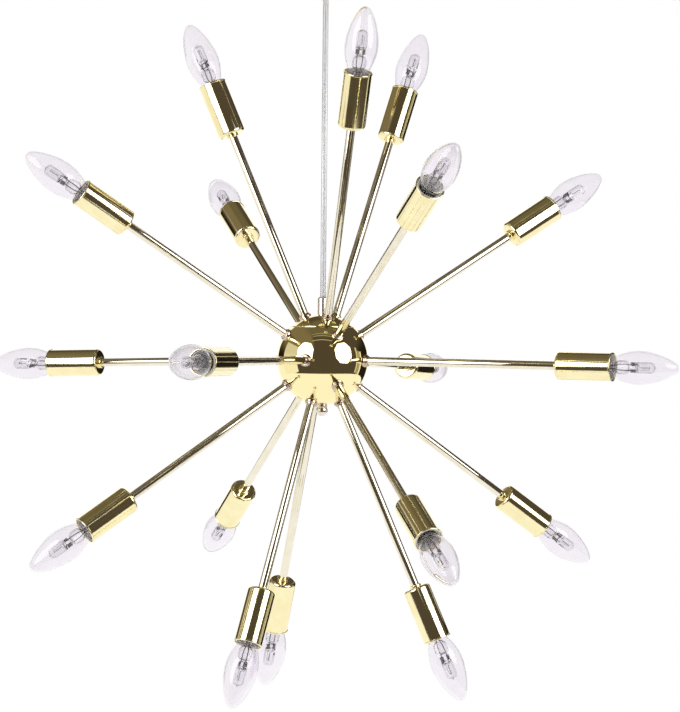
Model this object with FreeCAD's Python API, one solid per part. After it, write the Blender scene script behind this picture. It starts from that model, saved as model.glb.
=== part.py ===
"""Sputnik chandelier: a brass ball on a clear cable, with eighteen arms that each carry a candle bulb.

Millimetres. The origin is the middle of the ceiling face and +Z is up, so the whole lamp hangs below z = 0.
An arm, its cup, its lamp holder and its bulb are drawn standing on the ball's centre, pointing up +Z, and are
then turned out to the arm's own direction. "reach" is the distance from the ball's centre along an arm.
"""

import math
import os

import FreeCAD
import Part

Vector = FreeCAD.Vector
UP = Vector(0, 0, 1)

# ---------------------------------------------------------------- driving sizes
CEILING_TO_BALL = 438.0
THREAD_GAP = 0.05  # between a thread and the piece that is screwed on it, on the radius
HOLE_GAP = 0.1  # between a hole and the threaded end that passes through it, on the radius
CUT_MARGIN = 1.0  # how far a cutting shape reaches past what it cuts

BALL_DIAMETER = 98.0
BALL_WALL = 1.5
SEAM_HEIGHT = 35.0  # the ball parts this far above its centre
SEAM_GAP = 0.3
SEAM_LIP_HEIGHT = 4.0
SEAM_LIP_WALL = 1.2
SEAM_LIP_GAP = 0.05

# each ring of arms: its name, angle above the horizon, number of arms, direction of the first arm
ARM_DIRECTIONS = (
    ("top", 67.0, 3, 46.0),
    ("upper", 32.0, 4, 23.0),
    ("middle", -1.0, 4, 69.0),
    ("lower", -34.0, 4, 24.0),
    ("bottom", -67.0, 3, 114.0),
)

ARM_DIAMETER = 9.0
ARM_BORE = 6.5
ARM_THREAD_DIAMETER = 8.0
COLLAR_DIAMETER = 13.4
COLLAR_HEIGHT = 3.6
COLLAR_ROUND = 0.9
COLLAR_STEP_DIAMETER = 11.2
COLLAR_STEP_HEIGHT = 1.5
LOCK_NUT_FLATS = 12.0
LOCK_NUT_HEIGHT = 3.0
THREAD_PAST_NUT = 1.0

CUP_BASE_REACH = 262.0
CUP_LENGTH = 60.0
CUP_DIAMETER = 29.5
CUP_WALL = 1.0
CUP_FLOOR = 1.6
CUP_SHOULDER = 3.2
CUP_LIP = 0.5  # the rolled lip stands this far out from the cup's side
CUP_LIP_HEIGHT = 1.8
CUP_LIP_ROUND = 0.7
CUP_MOUTH_ROUND = 0.35
CUP_COLLAR_DIAMETER = 12.4
CUP_COLLAR_HEIGHT = 2.6
CUP_COLLAR_ROUND = 0.8

HOLDER_GAP = 0.25  # between the lamp holder and the cup, on the radius
HOLDER_BELOW_MOUTH = 1.2
HOLDER_ROUND = 0.6
HOLDER_WELL_DIAMETER = 19.0
HOLDER_SINK_DIAMETER = 24.0  # the well's flared mouth, which clears the bulb's glass
HOLDER_SINK_DEPTH = 4.5
CONTACT_SHELL_WALL = 0.5
CONTACT_SHELL_LENGTH = 14.0
CONTACT_TONGUE_GAP = 0.3
CONTACT_TONGUE_HEIGHT = 11.6
CONTACT_TONGUE_WIDTH = 6.0
CONTACT_TONGUE_THICKNESS = 0.6

BULB_SHOWING = 69.5  # from the cup's mouth to the bulb's tip
BULB_DIAMETER = 35.0
BULB_LENGTH = 99.0
BULB_GLASS_WALL = 0.9
BULB_NECK_DIAMETER = 15.6
BULB_SCREW_DIAMETER = 13.9
BULB_SCREW_ROOT_DIAMETER = 12.9
BULB_SCREW_PITCH = 2.82
BULB_SCREW_TURNS = 5
BULB_SCREW_WALL = 0.5
BULB_SCREW_GAP = 0.3  # between the bulb's thread and the holder's shell, on the radius
BULB_CAP_LENGTH = 24.0
BULB_INSULATOR_HEIGHT = 3.4
BULB_CONTACT_DIAMETER = 5.0
BULB_CONTACT_HEIGHT = 1.4
BULB_WIDEST_HEIGHT = 31.5  # where the glass is widest, above the glass's lower end
BULB_NOSE_RADIUS = 6.7
BULB_NOSE_LEAN = 39.0  # the side's lean towards the axis where the nose begins
CAPSULE_DIAMETER = 11.6
CAPSULE_LENGTH = 19.5
CAPSULE_ABOVE_GLASS_BASE = 30.5
CAPSULE_PINCH_LENGTH = 6.0
CAPSULE_PINCH_WIDTH = 11.0
CAPSULE_PINCH_THICKNESS = 4.4
SUPPORT_WIRE_DIAMETER = 1.1
SUPPORT_WIRE_SPREAD = 6.4
FLARE_DIAMETER = 14.6  # the bell of glass that carries the wires and the capsule
FLARE_NECK_DIAMETER = 7.6
FLARE_NECK_HEIGHT = 7.5
FLARE_SHOULDER_HEIGHT = 11.5
FLARE_HEIGHT = 22.5
FLARE_TOP_DIAMETER = 8.0
FLARE_TOP_ROUND = 3.5
FLARE_WALL = 1.0

LEAD_DIAMETER = 3.6
LEAD_START_SHARE = 0.8  # the leads start this share of the way from the ball's centre to the block's skin

CABLE_DIAMETER = 6.0
CABLE_BORE_GAP = 0.2  # between the cable and a bore that it passes through, on the radius
SWING_GAP = 0.3
SWING_SPACING = 6.0  # between the two crossed bends of the cable in its bush

STEM_DIAMETER = 11.0
STEM_HEIGHT = 18.0
STEM_BEVEL = 1.2
STEM_SCREW_DROP = 4.0  # the grip screw's axis lies this far below the stem's top
GRUB_SCREW_DIAMETER = 3.0
GRUB_SCREW_HEAD_DIAMETER = 4.4
GRUB_SCREW_HEAD_HEIGHT = 1.4
NIPPLE_DIAMETER = 10.0
NIPPLE_BORE = 7.0
NIPPLE_INTO_STEM = 6.0
TOP_NUT_FLATS = 14.0
TOP_NUT_HEIGHT = 3.0

STIRRUP_WIDTH = 13.0
STIRRUP_DEPTH = 6.0
STIRRUP_PLATE = 3.5
STIRRUP_SIDE = 2.3
STIRRUP_DIRECTION = 16.0  # midway between two of the top arms
ROD_DIAMETER = 6.0
JUNCTION_DIAMETER = 40.0
JUNCTION_HEIGHT = 44.0
JUNCTION_ROUND = 3.0
ROD_NUT_FLATS = 10.0
ROD_NUT_HEIGHT = 3.0
FINIAL_DIAMETER = 12.2
FINIAL_HEIGHT = 11.2
FINIAL_FOOT_DIAMETER = 9.0
FINIAL_FOOT_HEIGHT = 1.6

CANOPY_DIAMETER = 110.0
CANOPY_HEIGHT = 42.0
CANOPY_WALL = 1.2
CANOPY_EDGE_ROUND = 9.0
BUSH_DIAMETER = 17.0
BUSH_NECK_DIAMETER = 14.0
BUSH_HEAD_HEIGHT = 5.0
BUSH_NECK_HEIGHT = 7.0
BUSH_ROUND = 1.5
BUSH_MOUTH_RADIUS = 5.9
BUSH_NUT_FLATS = 19.0
BUSH_NUT_HEIGHT = 3.0
BRACKET_WIDTH = 20.0
BRACKET_THICKNESS = 2.0
BRACKET_DIP = 18.0  # the middle of the strap hangs this far below the ceiling, to its underside
BRACKET_MIDDLE_LENGTH = 54.0
BRACKET_SLOPE_LENGTH = 4.0
BRACKET_EAR_LENGTH = 15.0
BRACKET_SIDE_GAP = 1.0  # between the strap's ears and the canopy
CEILING_SCREW_SPACING = 78.0
CEILING_SCREW_HOLE = 5.2
CANOPY_SCREW_DIAMETER = 4.0
CANOPY_SCREW_DROP = 9.0
CANOPY_SCREW_HEAD_DIAMETER = 9.0
CANOPY_SCREW_HEAD_HEIGHT = 5.0
CANOPY_SCREW_PAST_EAR = 3.0
ANCHOR_DIAMETER = 14.0
ANCHOR_HEIGHT = 13.0
ANCHOR_NUT_FLATS = 14.0
ANCHOR_NUT_HEIGHT = 3.0
TERMINAL_LENGTH = 24.0
TERMINAL_WIDTH = 13.0
TERMINAL_HEIGHT = 11.0
TERMINAL_WELLS = 3
TERMINAL_WELL_DIAMETER = 4.0
TERMINAL_WELL_DEPTH = 4.0
TERMINAL_FROM_AXIS = 10.0
CABLE_PAST_ANCHOR = 4.0  # from the anchor's upper end to the end of the cable's sheath
CORE_DIAMETER = 2.2
CORE_SPACING = 3.0

# ---------------------------------------------------------------- what follows from them
BALL_RADIUS = BALL_DIAMETER / 2
BALL_INSIDE = BALL_RADIUS - BALL_WALL
CENTRE = Vector(0, 0, -CEILING_TO_BALL)
THREAD_HOLE = ARM_THREAD_DIAMETER + 2 * HOLE_GAP
COLLAR_TOP_REACH = BALL_RADIUS + COLLAR_HEIGHT
CUP_MOUTH_REACH = CUP_BASE_REACH + CUP_LENGTH
ARM_END_REACH = CUP_BASE_REACH - CUP_COLLAR_HEIGHT
CUP_FLOOR_REACH = CUP_BASE_REACH + CUP_FLOOR
HOLDER_MOUTH_REACH = CUP_MOUTH_REACH - HOLDER_BELOW_MOUTH
BULB_TIP_REACH = CUP_MOUTH_REACH + BULB_SHOWING
BULB_END_REACH = BULB_TIP_REACH - BULB_LENGTH
WELL_FLOOR_REACH = BULB_END_REACH - CONTACT_TONGUE_GAP - CONTACT_TONGUE_HEIGHT
THREAD_IN_HOLDER_REACH = CUP_FLOOR_REACH + (WELL_FLOOR_REACH - CUP_FLOOR_REACH) * 0.7
SCREW_LOW_REACH = BULB_END_REACH + BULB_CONTACT_HEIGHT + BULB_INSULATOR_HEIGHT
SCREW_TOP_REACH = SCREW_LOW_REACH + BULB_SCREW_TURNS * BULB_SCREW_PITCH
GLASS_BASE_REACH = BULB_END_REACH + BULB_CAP_LENGTH
HOLDER_RADIUS = CUP_DIAMETER / 2 - CUP_WALL - HOLDER_GAP
SHELL_INSIDE = BULB_SCREW_DIAMETER / 2 + BULB_SCREW_GAP
LOCK_NUT_CORNER = LOCK_NUT_FLATS / 2 / math.cos(math.radians(30))
LOCK_NUT_REACH = math.sqrt(BALL_INSIDE**2 - LOCK_NUT_CORNER**2) - LOCK_NUT_HEIGHT
ARM_START_REACH = LOCK_NUT_REACH - THREAD_PAST_NUT
BALL_TOP = BALL_RADIUS - CEILING_TO_BALL
STEM_TOP = BALL_TOP + STEM_HEIGHT
CANOPY_BOTTOM = -CANOPY_HEIGHT
CABLE_BORE = CABLE_DIAMETER + 2 * CABLE_BORE_GAP


# ---------------------------------------------------------------- small makers
def outline(points):
    """A flat face in the XZ plane from corner points and edges, closed back to its first point."""
    edges = []
    for here, there in zip(points, points[1:] + points[:1]):
        edges.append(Part.LineSegment(Vector(here[0], 0, here[1]), Vector(there[0], 0, there[1])).toShape())
    return Part.Face(Part.Wire(edges))


def rod(radius, low, high):
    return Part.makeCylinder(radius, high - low, Vector(0, 0, low), UP)


def tube(outside, bore, low, high):
    return rod(outside, low, high).cut(rod(bore, low - 1, high + 1))


def hex_nut(flats, height, bore, low):
    """A six-sided nut with its corners taken off by a cone at both ends."""
    corner = flats / 2 / math.cos(math.radians(30))
    corners = [Vector(corner * math.cos(math.radians(60 * k)), corner * math.sin(math.radians(60 * k)), low)
               for k in range(6)]
    prism = Part.Face(Part.makePolygon(corners + corners[:1])).extrude(Vector(0, 0, height))
    bevel = (corner - flats / 2) * 0.6
    rounded = rod(corner, low, low + height)
    rounded = rounded.makeChamfer(bevel, [edge for edge in rounded.Edges if edge.Closed and len(edge.Vertexes) == 1
                                          and edge.Curve.TypeId == "Part::GeomCircle"])
    return prism.common(rounded).cut(rod(bore / 2, low - 1, low + height + 1))


def circles_at(shape, height, radius):
    """The round edges of a shape at one height and radius."""
    found = []
    for edge in shape.Edges:
        if edge.Curve.TypeId != "Part::GeomCircle":
            continue
        if abs(edge.Curve.Center.z - height) < 1e-4 and abs(edge.Curve.Radius - radius) < 1e-4:
            found.append(edge)
    return found


def grub_screw(seat_distance, height, tip_distance):
    """A small headed screw along +X at one height: its head stands on seat_distance, its end at tip_distance."""
    along = Vector(1, 0, 0)
    shank = Part.makeCylinder(GRUB_SCREW_DIAMETER / 2, seat_distance - tip_distance,
                              Vector(tip_distance, 0, height), along)
    head = Part.makeCylinder(GRUB_SCREW_HEAD_DIAMETER / 2, GRUB_SCREW_HEAD_HEIGHT,
                             Vector(seat_distance, 0, height), along)
    slot = Part.makeBox(GRUB_SCREW_HEAD_HEIGHT, GRUB_SCREW_HEAD_DIAMETER * 1.2, GRUB_SCREW_HEAD_DIAMETER * 0.2,
                        Vector(seat_distance + GRUB_SCREW_HEAD_HEIGHT * 0.5, -GRUB_SCREW_HEAD_DIAMETER * 0.6,
                               height - GRUB_SCREW_HEAD_DIAMETER * 0.1))
    return shank.fuse(head).removeSplitter().cut(slot)


def out_along(shape, elevation, direction):
    """Turn a shape drawn up +Z about the origin out to an arm's direction, and carry it to the ball."""
    copy = shape.copy()
    copy.rotate(Vector(0, 0, 0), Vector(0, 1, 0), 90 - elevation)
    copy.rotate(Vector(0, 0, 0), UP, direction)
    copy.translate(CENTRE)
    return copy


def arm_directions(ring):
    name, elevation, count, first = ring
    return [(elevation, first + 360.0 * k / count) for k in range(count)]


def lowered(shape):
    """A shape drawn about the ball's centre, carried down to the ball."""
    copy = shape.copy()
    copy.translate(CENTRE)
    return copy


# ---------------------------------------------------------------- the arm, drawn up +Z from the ball's centre
def arm_shape():
    body = rod(ARM_DIAMETER / 2, COLLAR_TOP_REACH, ARM_END_REACH)
    inner_thread = rod(ARM_THREAD_DIAMETER / 2, ARM_START_REACH, COLLAR_TOP_REACH)
    outer_thread = rod(ARM_THREAD_DIAMETER / 2, ARM_END_REACH, THREAD_IN_HOLDER_REACH)
    whole = body.fuse([inner_thread, outer_thread])
    return whole.cut(rod(ARM_BORE / 2, ARM_START_REACH - 1, CUP_MOUTH_REACH))


def collar_shape():
    """The stepped ring between the arm and the ball, seated on the ball's own curve."""
    low = BALL_RADIUS - COLLAR_DIAMETER / 2
    wide_top = COLLAR_TOP_REACH - COLLAR_STEP_HEIGHT
    wide = rod(COLLAR_DIAMETER / 2, low, wide_top)
    wide = wide.makeFillet(COLLAR_ROUND, circles_at(wide, wide_top, COLLAR_DIAMETER / 2))
    step = rod(COLLAR_STEP_DIAMETER / 2, wide_top - 0.5, COLLAR_TOP_REACH)
    step = step.makeFillet(COLLAR_ROUND * 0.7, circles_at(step, COLLAR_TOP_REACH, COLLAR_STEP_DIAMETER / 2))
    ring = wide.fuse(step)
    ring = ring.cut(rod(THREAD_HOLE / 2, low - 1, COLLAR_TOP_REACH + 1))
    return ring.cut(Part.makeSphere(BALL_RADIUS))


def cup_collar_shape():
    ring = rod(CUP_COLLAR_DIAMETER / 2, ARM_END_REACH, CUP_BASE_REACH)
    ring = ring.makeFillet(CUP_COLLAR_ROUND, circles_at(ring, ARM_END_REACH, CUP_COLLAR_DIAMETER / 2))
    return ring.cut(rod(THREAD_HOLE / 2, ARM_END_REACH - 1, CUP_BASE_REACH + 1))


def cup_shape():
    """A deep round cup with a rounded shoulder and a rolled lip round its mouth."""
    outside = rod(CUP_DIAMETER / 2, CUP_BASE_REACH, CUP_MOUTH_REACH)
    outside = outside.makeFillet(CUP_SHOULDER, circles_at(outside, CUP_BASE_REACH, CUP_DIAMETER / 2))
    inside = rod(CUP_DIAMETER / 2 - CUP_WALL, CUP_FLOOR_REACH, CUP_MOUTH_REACH + 1)
    inside = inside.makeFillet(CUP_SHOULDER - CUP_WALL,
                               circles_at(inside, CUP_FLOOR_REACH, CUP_DIAMETER / 2 - CUP_WALL))
    lip_radius = CUP_DIAMETER / 2 + CUP_LIP
    lip_low = CUP_MOUTH_REACH - CUP_LIP_HEIGHT
    lip = rod(lip_radius, lip_low, CUP_MOUTH_REACH)
    lip = lip.makeFillet(CUP_LIP_ROUND, circles_at(lip, CUP_MOUTH_REACH, lip_radius)
                         + circles_at(lip, lip_low, lip_radius))
    cup = outside.fuse(lip).cut(inside)
    cup = cup.makeFillet(CUP_MOUTH_ROUND, circles_at(cup, CUP_MOUTH_REACH, CUP_DIAMETER / 2 - CUP_WALL))
    return cup.cut(rod(THREAD_HOLE / 2, CUP_BASE_REACH - 1, CUP_FLOOR_REACH + 1))


def holder_shape():
    """The white lamp holder: a threaded base, a skirt that fills the cup and a well for the bulb's cap."""
    low = CUP_FLOOR_REACH
    body = rod(HOLDER_RADIUS, low, HOLDER_MOUTH_REACH)
    body = body.makeChamfer(CUP_SHOULDER, circles_at(body, low, HOLDER_RADIUS))
    body = body.makeFillet(HOLDER_ROUND, circles_at(body, HOLDER_MOUTH_REACH, HOLDER_RADIUS))
    well = rod(HOLDER_WELL_DIAMETER / 2, WELL_FLOOR_REACH, HOLDER_MOUTH_REACH + CUT_MARGIN)
    sink = Part.makeCone(HOLDER_WELL_DIAMETER / 2, HOLDER_SINK_DIAMETER / 2, HOLDER_SINK_DEPTH,
                         Vector(0, 0, HOLDER_MOUTH_REACH - HOLDER_SINK_DEPTH), UP)
    thread = rod(ARM_THREAD_DIAMETER / 2 + THREAD_GAP, low - CUT_MARGIN, WELL_FLOOR_REACH)
    return body.cut(well).cut(sink).cut(thread)


def contact_shapes():
    """The holder's brass screw shell and the sprung tongue under the bulb's centre contact."""
    shell_low = SCREW_TOP_REACH - CONTACT_SHELL_LENGTH
    shell = tube(SHELL_INSIDE + CONTACT_SHELL_WALL, SHELL_INSIDE, shell_low, SCREW_TOP_REACH)
    foot = tube(HOLDER_WELL_DIAMETER / 2, SHELL_INSIDE, shell_low, shell_low + 1)
    radius = CONTACT_TONGUE_HEIGHT / 2
    middle = WELL_FLOOR_REACH + radius
    arch = Part.makeCylinder(radius, CONTACT_TONGUE_WIDTH, Vector(0, -CONTACT_TONGUE_WIDTH / 2, middle),
                             Vector(0, 1, 0))
    hollow = Part.makeCylinder(radius - CONTACT_TONGUE_THICKNESS, CONTACT_TONGUE_WIDTH + 2,
                               Vector(0, -CONTACT_TONGUE_WIDTH / 2 - 1, middle), Vector(0, 1, 0))
    gap = Part.makeBox(radius, CONTACT_TONGUE_WIDTH + 2, radius * 0.8,
                       Vector(radius * 0.2, -CONTACT_TONGUE_WIDTH / 2 - 1, middle - radius * 0.4))
    return [shell.fuse(foot), arch.cut(hollow).cut(gap)]


def lead_shape():
    """The twin lead through the arm, from inside the junction block to the lamp holder's base."""
    start = LEAD_START_SHARE * min(JUNCTION_DIAMETER, JUNCTION_HEIGHT) / 2
    return rod(LEAD_DIAMETER / 2, start, WELL_FLOOR_REACH)


# ---------------------------------------------------------------- the bulb, drawn up +Z from the ball's centre
def glass_face(inset):
    """Half of the candle-shaped glass, from its neck to its nose, drawn in by an inset."""
    base = GLASS_BASE_REACH
    length = BULB_TIP_REACH - base
    belly = BULB_DIAMETER / 2 - inset
    neck = BULB_NECK_DIAMETER / 2 - inset
    nose = BULB_NOSE_RADIUS - inset
    nose_centre = BULB_TIP_REACH - BULB_NOSE_RADIUS
    lean = math.radians(BULB_NOSE_LEAN)
    widest = base + BULB_WIDEST_HEIGHT
    neck_point = Vector(neck, 0, base)
    belly_point = Vector(belly, 0, widest)
    nose_start = Vector(nose * math.cos(lean), 0, nose_centre + nose * math.sin(lean))
    # each side's pulls are a share of the bulb's own length, so that the outline keeps its form
    lower_side = Part.BezierCurve()
    lower_side.setPoles([neck_point, neck_point + Vector(length * 0.04, 0, length * 0.071),
                         belly_point - UP * length * 0.151, belly_point])
    upper_side = Part.BezierCurve()
    towards_nose = Vector(-math.sin(lean), 0, math.cos(lean))
    upper_side.setPoles([belly_point, belly_point + UP * length * 0.177,
                         nose_start - towards_nose * length * 0.153, nose_start])
    tip = Vector(0, 0, nose_centre + nose)
    middle_turn = (lean + math.pi / 2) / 2
    nose_middle = Vector(nose * math.cos(middle_turn), 0, nose_centre + nose * math.sin(middle_turn))
    edges = [
        Part.LineSegment(Vector(0, 0, base), neck_point).toShape(),
        lower_side.toShape(),
        upper_side.toShape(),
        Part.Arc(nose_start, nose_middle, tip).toShape(),
        Part.LineSegment(tip, Vector(0, 0, base)).toShape(),
    ]
    return Part.Face(Part.Wire(edges))


def flare_shape():
    """The hollow bell of glass inside the neck, which closes at its top under the capsule."""
    def bell(inset):
        neck = FLARE_NECK_DIAMETER / 2 - inset
        side = FLARE_DIAMETER / 2 - inset
        foot = BULB_NECK_DIAMETER / 2 - BULB_GLASS_WALL - inset
        corners = [
            (0, 0),
            (foot, 0),
            (neck, FLARE_NECK_HEIGHT * 0.6),
            (neck, FLARE_NECK_HEIGHT),
            (side, FLARE_SHOULDER_HEIGHT),
            (side, FLARE_HEIGHT - FLARE_TOP_ROUND - inset),
            (FLARE_TOP_DIAMETER / 2, FLARE_HEIGHT - inset),
            (0, FLARE_HEIGHT - inset),
        ]
        face = outline([(across, GLASS_BASE_REACH + height) for across, height in corners])
        return face.revolve(Vector(0, 0, 0), UP, 360)

    return bell(0).cut(bell(FLARE_WALL))


def bulb_shapes():
    """Glass, glass bell, capsule, two support wires, screw cap, insulator and centre contact."""
    spin = (Vector(0, 0, 0), UP, 360)
    glass = glass_face(0).revolve(*spin).cut(glass_face(BULB_GLASS_WALL).revolve(*spin))
    capsule_low = GLASS_BASE_REACH + CAPSULE_ABOVE_GLASS_BASE
    capsule_round = CAPSULE_DIAMETER / 2
    capsule = rod(capsule_round, capsule_low, capsule_low + CAPSULE_LENGTH)
    capsule = capsule.makeFillet(capsule_round * 0.8,
                                 circles_at(capsule, capsule_low + CAPSULE_LENGTH, capsule_round))
    capsule = capsule.makeFillet(capsule_round * 0.15, circles_at(capsule, capsule_low, capsule_round))
    pinch_low = capsule_low - CAPSULE_PINCH_LENGTH
    pinch = Part.makeBox(CAPSULE_PINCH_WIDTH, CAPSULE_PINCH_THICKNESS, CAPSULE_PINCH_LENGTH + 1,
                         Vector(-CAPSULE_PINCH_WIDTH / 2, -CAPSULE_PINCH_THICKNESS / 2, pinch_low))
    capsule = capsule.fuse(pinch)
    wires = []
    for side in (-1, 1):
        place = Vector(side * SUPPORT_WIRE_SPREAD / 2, 0, GLASS_BASE_REACH + FLARE_HEIGHT)
        wires.append(Part.makeCylinder(SUPPORT_WIRE_DIAMETER / 2, pinch_low - place.z, place, UP))
    return [glass, flare_shape(), capsule] + wires + cap_shapes()


def cap_shapes():
    """The bulb's screw cap with its rounded turns, the insulator below and the centre contact."""
    low = SCREW_LOW_REACH
    crest = BULB_SCREW_DIAMETER / 2
    root = BULB_SCREW_ROOT_DIAMETER / 2
    skirt = BULB_NECK_DIAMETER / 2
    edges = []
    here = Vector(root, 0, low)
    first = here
    for turn in range(BULB_SCREW_TURNS):
        bottom = low + turn * BULB_SCREW_PITCH
        there = Vector(root, 0, bottom + BULB_SCREW_PITCH)
        edges.append(Part.Arc(here, Vector(crest, 0, bottom + BULB_SCREW_PITCH / 2), there).toShape())
        here = there
    inside = root - BULB_SCREW_WALL
    corners = [here, Vector(skirt, 0, here.z + 2), Vector(skirt, 0, GLASS_BASE_REACH),
               Vector(inside, 0, GLASS_BASE_REACH), Vector(inside, 0, low), first]
    for start, end in zip(corners, corners[1:]):
        edges.append(Part.LineSegment(start, end).toShape())
    shell = Part.Face(Part.Wire(edges)).revolve(Vector(0, 0, 0), UP, 360)
    insulator = Part.makeCone(BULB_CONTACT_DIAMETER / 2 + 0.8, root, BULB_INSULATOR_HEIGHT,
                              Vector(0, 0, low - BULB_INSULATOR_HEIGHT), UP)
    contact = rod(BULB_CONTACT_DIAMETER / 2, BULB_END_REACH, BULB_END_REACH + BULB_CONTACT_HEIGHT)
    contact = contact.makeFillet(BULB_CONTACT_HEIGHT * 0.6,
                                 circles_at(contact, BULB_END_REACH, BULB_CONTACT_DIAMETER / 2))
    return [shell, insulator, contact]


# ---------------------------------------------------------------- the ball, drawn about its own centre
def ball_shell():
    return Part.makeSphere(BALL_RADIUS).cut(Part.makeSphere(BALL_INSIDE))


def above(height):
    reach = 2 * BALL_RADIUS
    return Part.makeBox(2 * reach, 2 * reach, reach, Vector(-reach, -reach, height))


def below(height):
    reach = 2 * BALL_RADIUS
    return Part.makeBox(2 * reach, 2 * reach, reach, Vector(-reach, -reach, height - reach))


def arm_holes(ring_names):
    holes = []
    for ring in ARM_DIRECTIONS:
        if ring[0] not in ring_names:
            continue
        for elevation, direction in arm_directions(ring):
            hole = rod(THREAD_HOLE / 2, BALL_INSIDE - 3, BALL_RADIUS + 3)
            hole.rotate(Vector(0, 0, 0), Vector(0, 1, 0), 90 - elevation)
            hole.rotate(Vector(0, 0, 0), UP, direction)
            holes.append(hole)
    return holes


def rings_above_seam():
    """The rings whose arms are screwed into the cap, as their collars clear the seam."""
    return [ring[0] for ring in ARM_DIRECTIONS if BALL_RADIUS * math.sin(math.radians(ring[1])) > SEAM_HEIGHT]


def ball_cap_shape():
    """The ball's lid, with a lip that drops inside the bowl's rim."""
    lid = ball_shell().common(above(SEAM_HEIGHT))
    rim_inside = math.sqrt(BALL_INSIDE**2 - SEAM_HEIGHT**2)
    lip_outside = rim_inside - SEAM_LIP_GAP
    lip = tube(lip_outside, lip_outside - SEAM_LIP_WALL, SEAM_HEIGHT - SEAM_LIP_HEIGHT, SEAM_HEIGHT + BALL_WALL)
    lip = lip.common(Part.makeSphere(BALL_INSIDE + BALL_WALL / 2))
    lid = lid.fuse(lip)
    holes = arm_holes(rings_above_seam())
    holes.append(rod(NIPPLE_DIAMETER / 2 + HOLE_GAP, 0, BALL_DIAMETER))
    return lid.cut(holes)


def ball_bowl_shape():
    """The rest of the ball, open at the top, with a hole for the rod at the bottom."""
    bowl = ball_shell().common(below(SEAM_HEIGHT - SEAM_GAP))
    others = [ring[0] for ring in ARM_DIRECTIONS if ring[0] not in rings_above_seam()]
    holes = arm_holes(others)
    holes.append(rod(ROD_DIAMETER / 2 + HOLE_GAP, -BALL_DIAMETER, 0))
    return bowl.cut(holes)


def stem_shape():
    """The turned grip on top of the ball that holds the cable's end."""
    low = BALL_RADIUS
    body = rod(STEM_DIAMETER / 2, low - CUT_MARGIN, low + STEM_HEIGHT)
    body = body.makeChamfer(STEM_BEVEL, circles_at(body, low + STEM_HEIGHT, STEM_DIAMETER / 2))
    stem = body.cut(Part.makeSphere(BALL_RADIUS))
    stem = stem.cut(rod(CABLE_BORE / 2, low - 2 * CUT_MARGIN, low + STEM_HEIGHT + CUT_MARGIN))
    stem = stem.cut(rod(NIPPLE_DIAMETER / 2 + THREAD_GAP, low - 2 * CUT_MARGIN, low + NIPPLE_INTO_STEM))
    screw_height = low + STEM_HEIGHT - STEM_SCREW_DROP
    hole = Part.makeCylinder(GRUB_SCREW_DIAMETER / 2 + THREAD_GAP, STEM_DIAMETER, Vector(0, 0, screw_height),
                             Vector(0, 1, 0))
    return stem.cut(hole)


def stem_screw_shape():
    """The grip screw, on the lamp's far side (+Y)."""
    screw = grub_screw(STEM_DIAMETER / 2, BALL_RADIUS + STEM_HEIGHT - STEM_SCREW_DROP, CABLE_DIAMETER / 2)
    screw.rotate(Vector(0, 0, 0), UP, 90)
    return screw


def nipple_low():
    """The nipple's lower end, inside the stirrup's top plate."""
    return top_nut_low() - STIRRUP_PLATE


def top_nut_low():
    corner = TOP_NUT_FLATS / 2 / math.cos(math.radians(30))
    return math.sqrt(BALL_INSIDE**2 - corner**2) - TOP_NUT_HEIGHT


def nipple_shape():
    return tube(NIPPLE_DIAMETER / 2, NIPPLE_BORE / 2, nipple_low(), BALL_RADIUS + NIPPLE_INTO_STEM)


def top_nut_shape():
    return hex_nut(TOP_NUT_FLATS, TOP_NUT_HEIGHT, NIPPLE_DIAMETER + 2 * THREAD_GAP, top_nut_low())


def stirrup_shape():
    """The open stirrup that joins the hollow nipple to the solid rod and lets the wires out sideways."""
    low = JUNCTION_HEIGHT / 2
    high = top_nut_low()
    block = Part.makeBox(STIRRUP_WIDTH, STIRRUP_DEPTH, high - low,
                         Vector(-STIRRUP_WIDTH / 2, -STIRRUP_DEPTH / 2, low))
    window = Part.makeBox(STIRRUP_WIDTH - 2 * STIRRUP_SIDE, STIRRUP_DEPTH + 2, high - low - 2 * STIRRUP_PLATE,
                          Vector(-STIRRUP_WIDTH / 2 + STIRRUP_SIDE, -STIRRUP_DEPTH / 2 - 1, low + STIRRUP_PLATE))
    boss = rod(NIPPLE_DIAMETER / 2 + STIRRUP_SIDE, high - STIRRUP_PLATE, high)
    stirrup = block.cut(window).fuse(boss)
    stirrup = stirrup.cut(rod(NIPPLE_DIAMETER / 2 + THREAD_GAP, high - STIRRUP_PLATE - 0.5, high + 1))
    stirrup = stirrup.cut(rod(ROD_DIAMETER / 2 + THREAD_GAP, low - 1, low + STIRRUP_PLATE + 1))
    stirrup.rotate(Vector(0, 0, 0), UP, STIRRUP_DIRECTION)
    return stirrup


def rod_shape():
    return rod(ROD_DIAMETER / 2, -BALL_RADIUS - FINIAL_HEIGHT * 0.6, JUNCTION_HEIGHT / 2 + STIRRUP_PLATE)


def rod_nut_shapes():
    """One nut clamps the junction block, the other stands on the bowl's floor."""
    corner = ROD_NUT_FLATS / 2 / math.cos(math.radians(30))
    floor = -math.sqrt(BALL_INSIDE**2 - corner**2)
    bore = ROD_DIAMETER + 2 * THREAD_GAP
    return [
        hex_nut(ROD_NUT_FLATS, ROD_NUT_HEIGHT, bore, -JUNCTION_HEIGHT / 2 - ROD_NUT_HEIGHT),
        hex_nut(ROD_NUT_FLATS, ROD_NUT_HEIGHT, bore, floor),
    ]


def junction_shape():
    """The round block in the middle of the ball that joins the arms' leads to the supply."""
    half = JUNCTION_HEIGHT / 2
    block = rod(JUNCTION_DIAMETER / 2, -half, half)
    block = block.makeFillet(JUNCTION_ROUND, circles_at(block, half, JUNCTION_DIAMETER / 2)
                             + circles_at(block, -half, JUNCTION_DIAMETER / 2))
    return block.cut(rod(ROD_DIAMETER / 2 + HOLE_GAP, -half - 1, half + 1))


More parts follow.
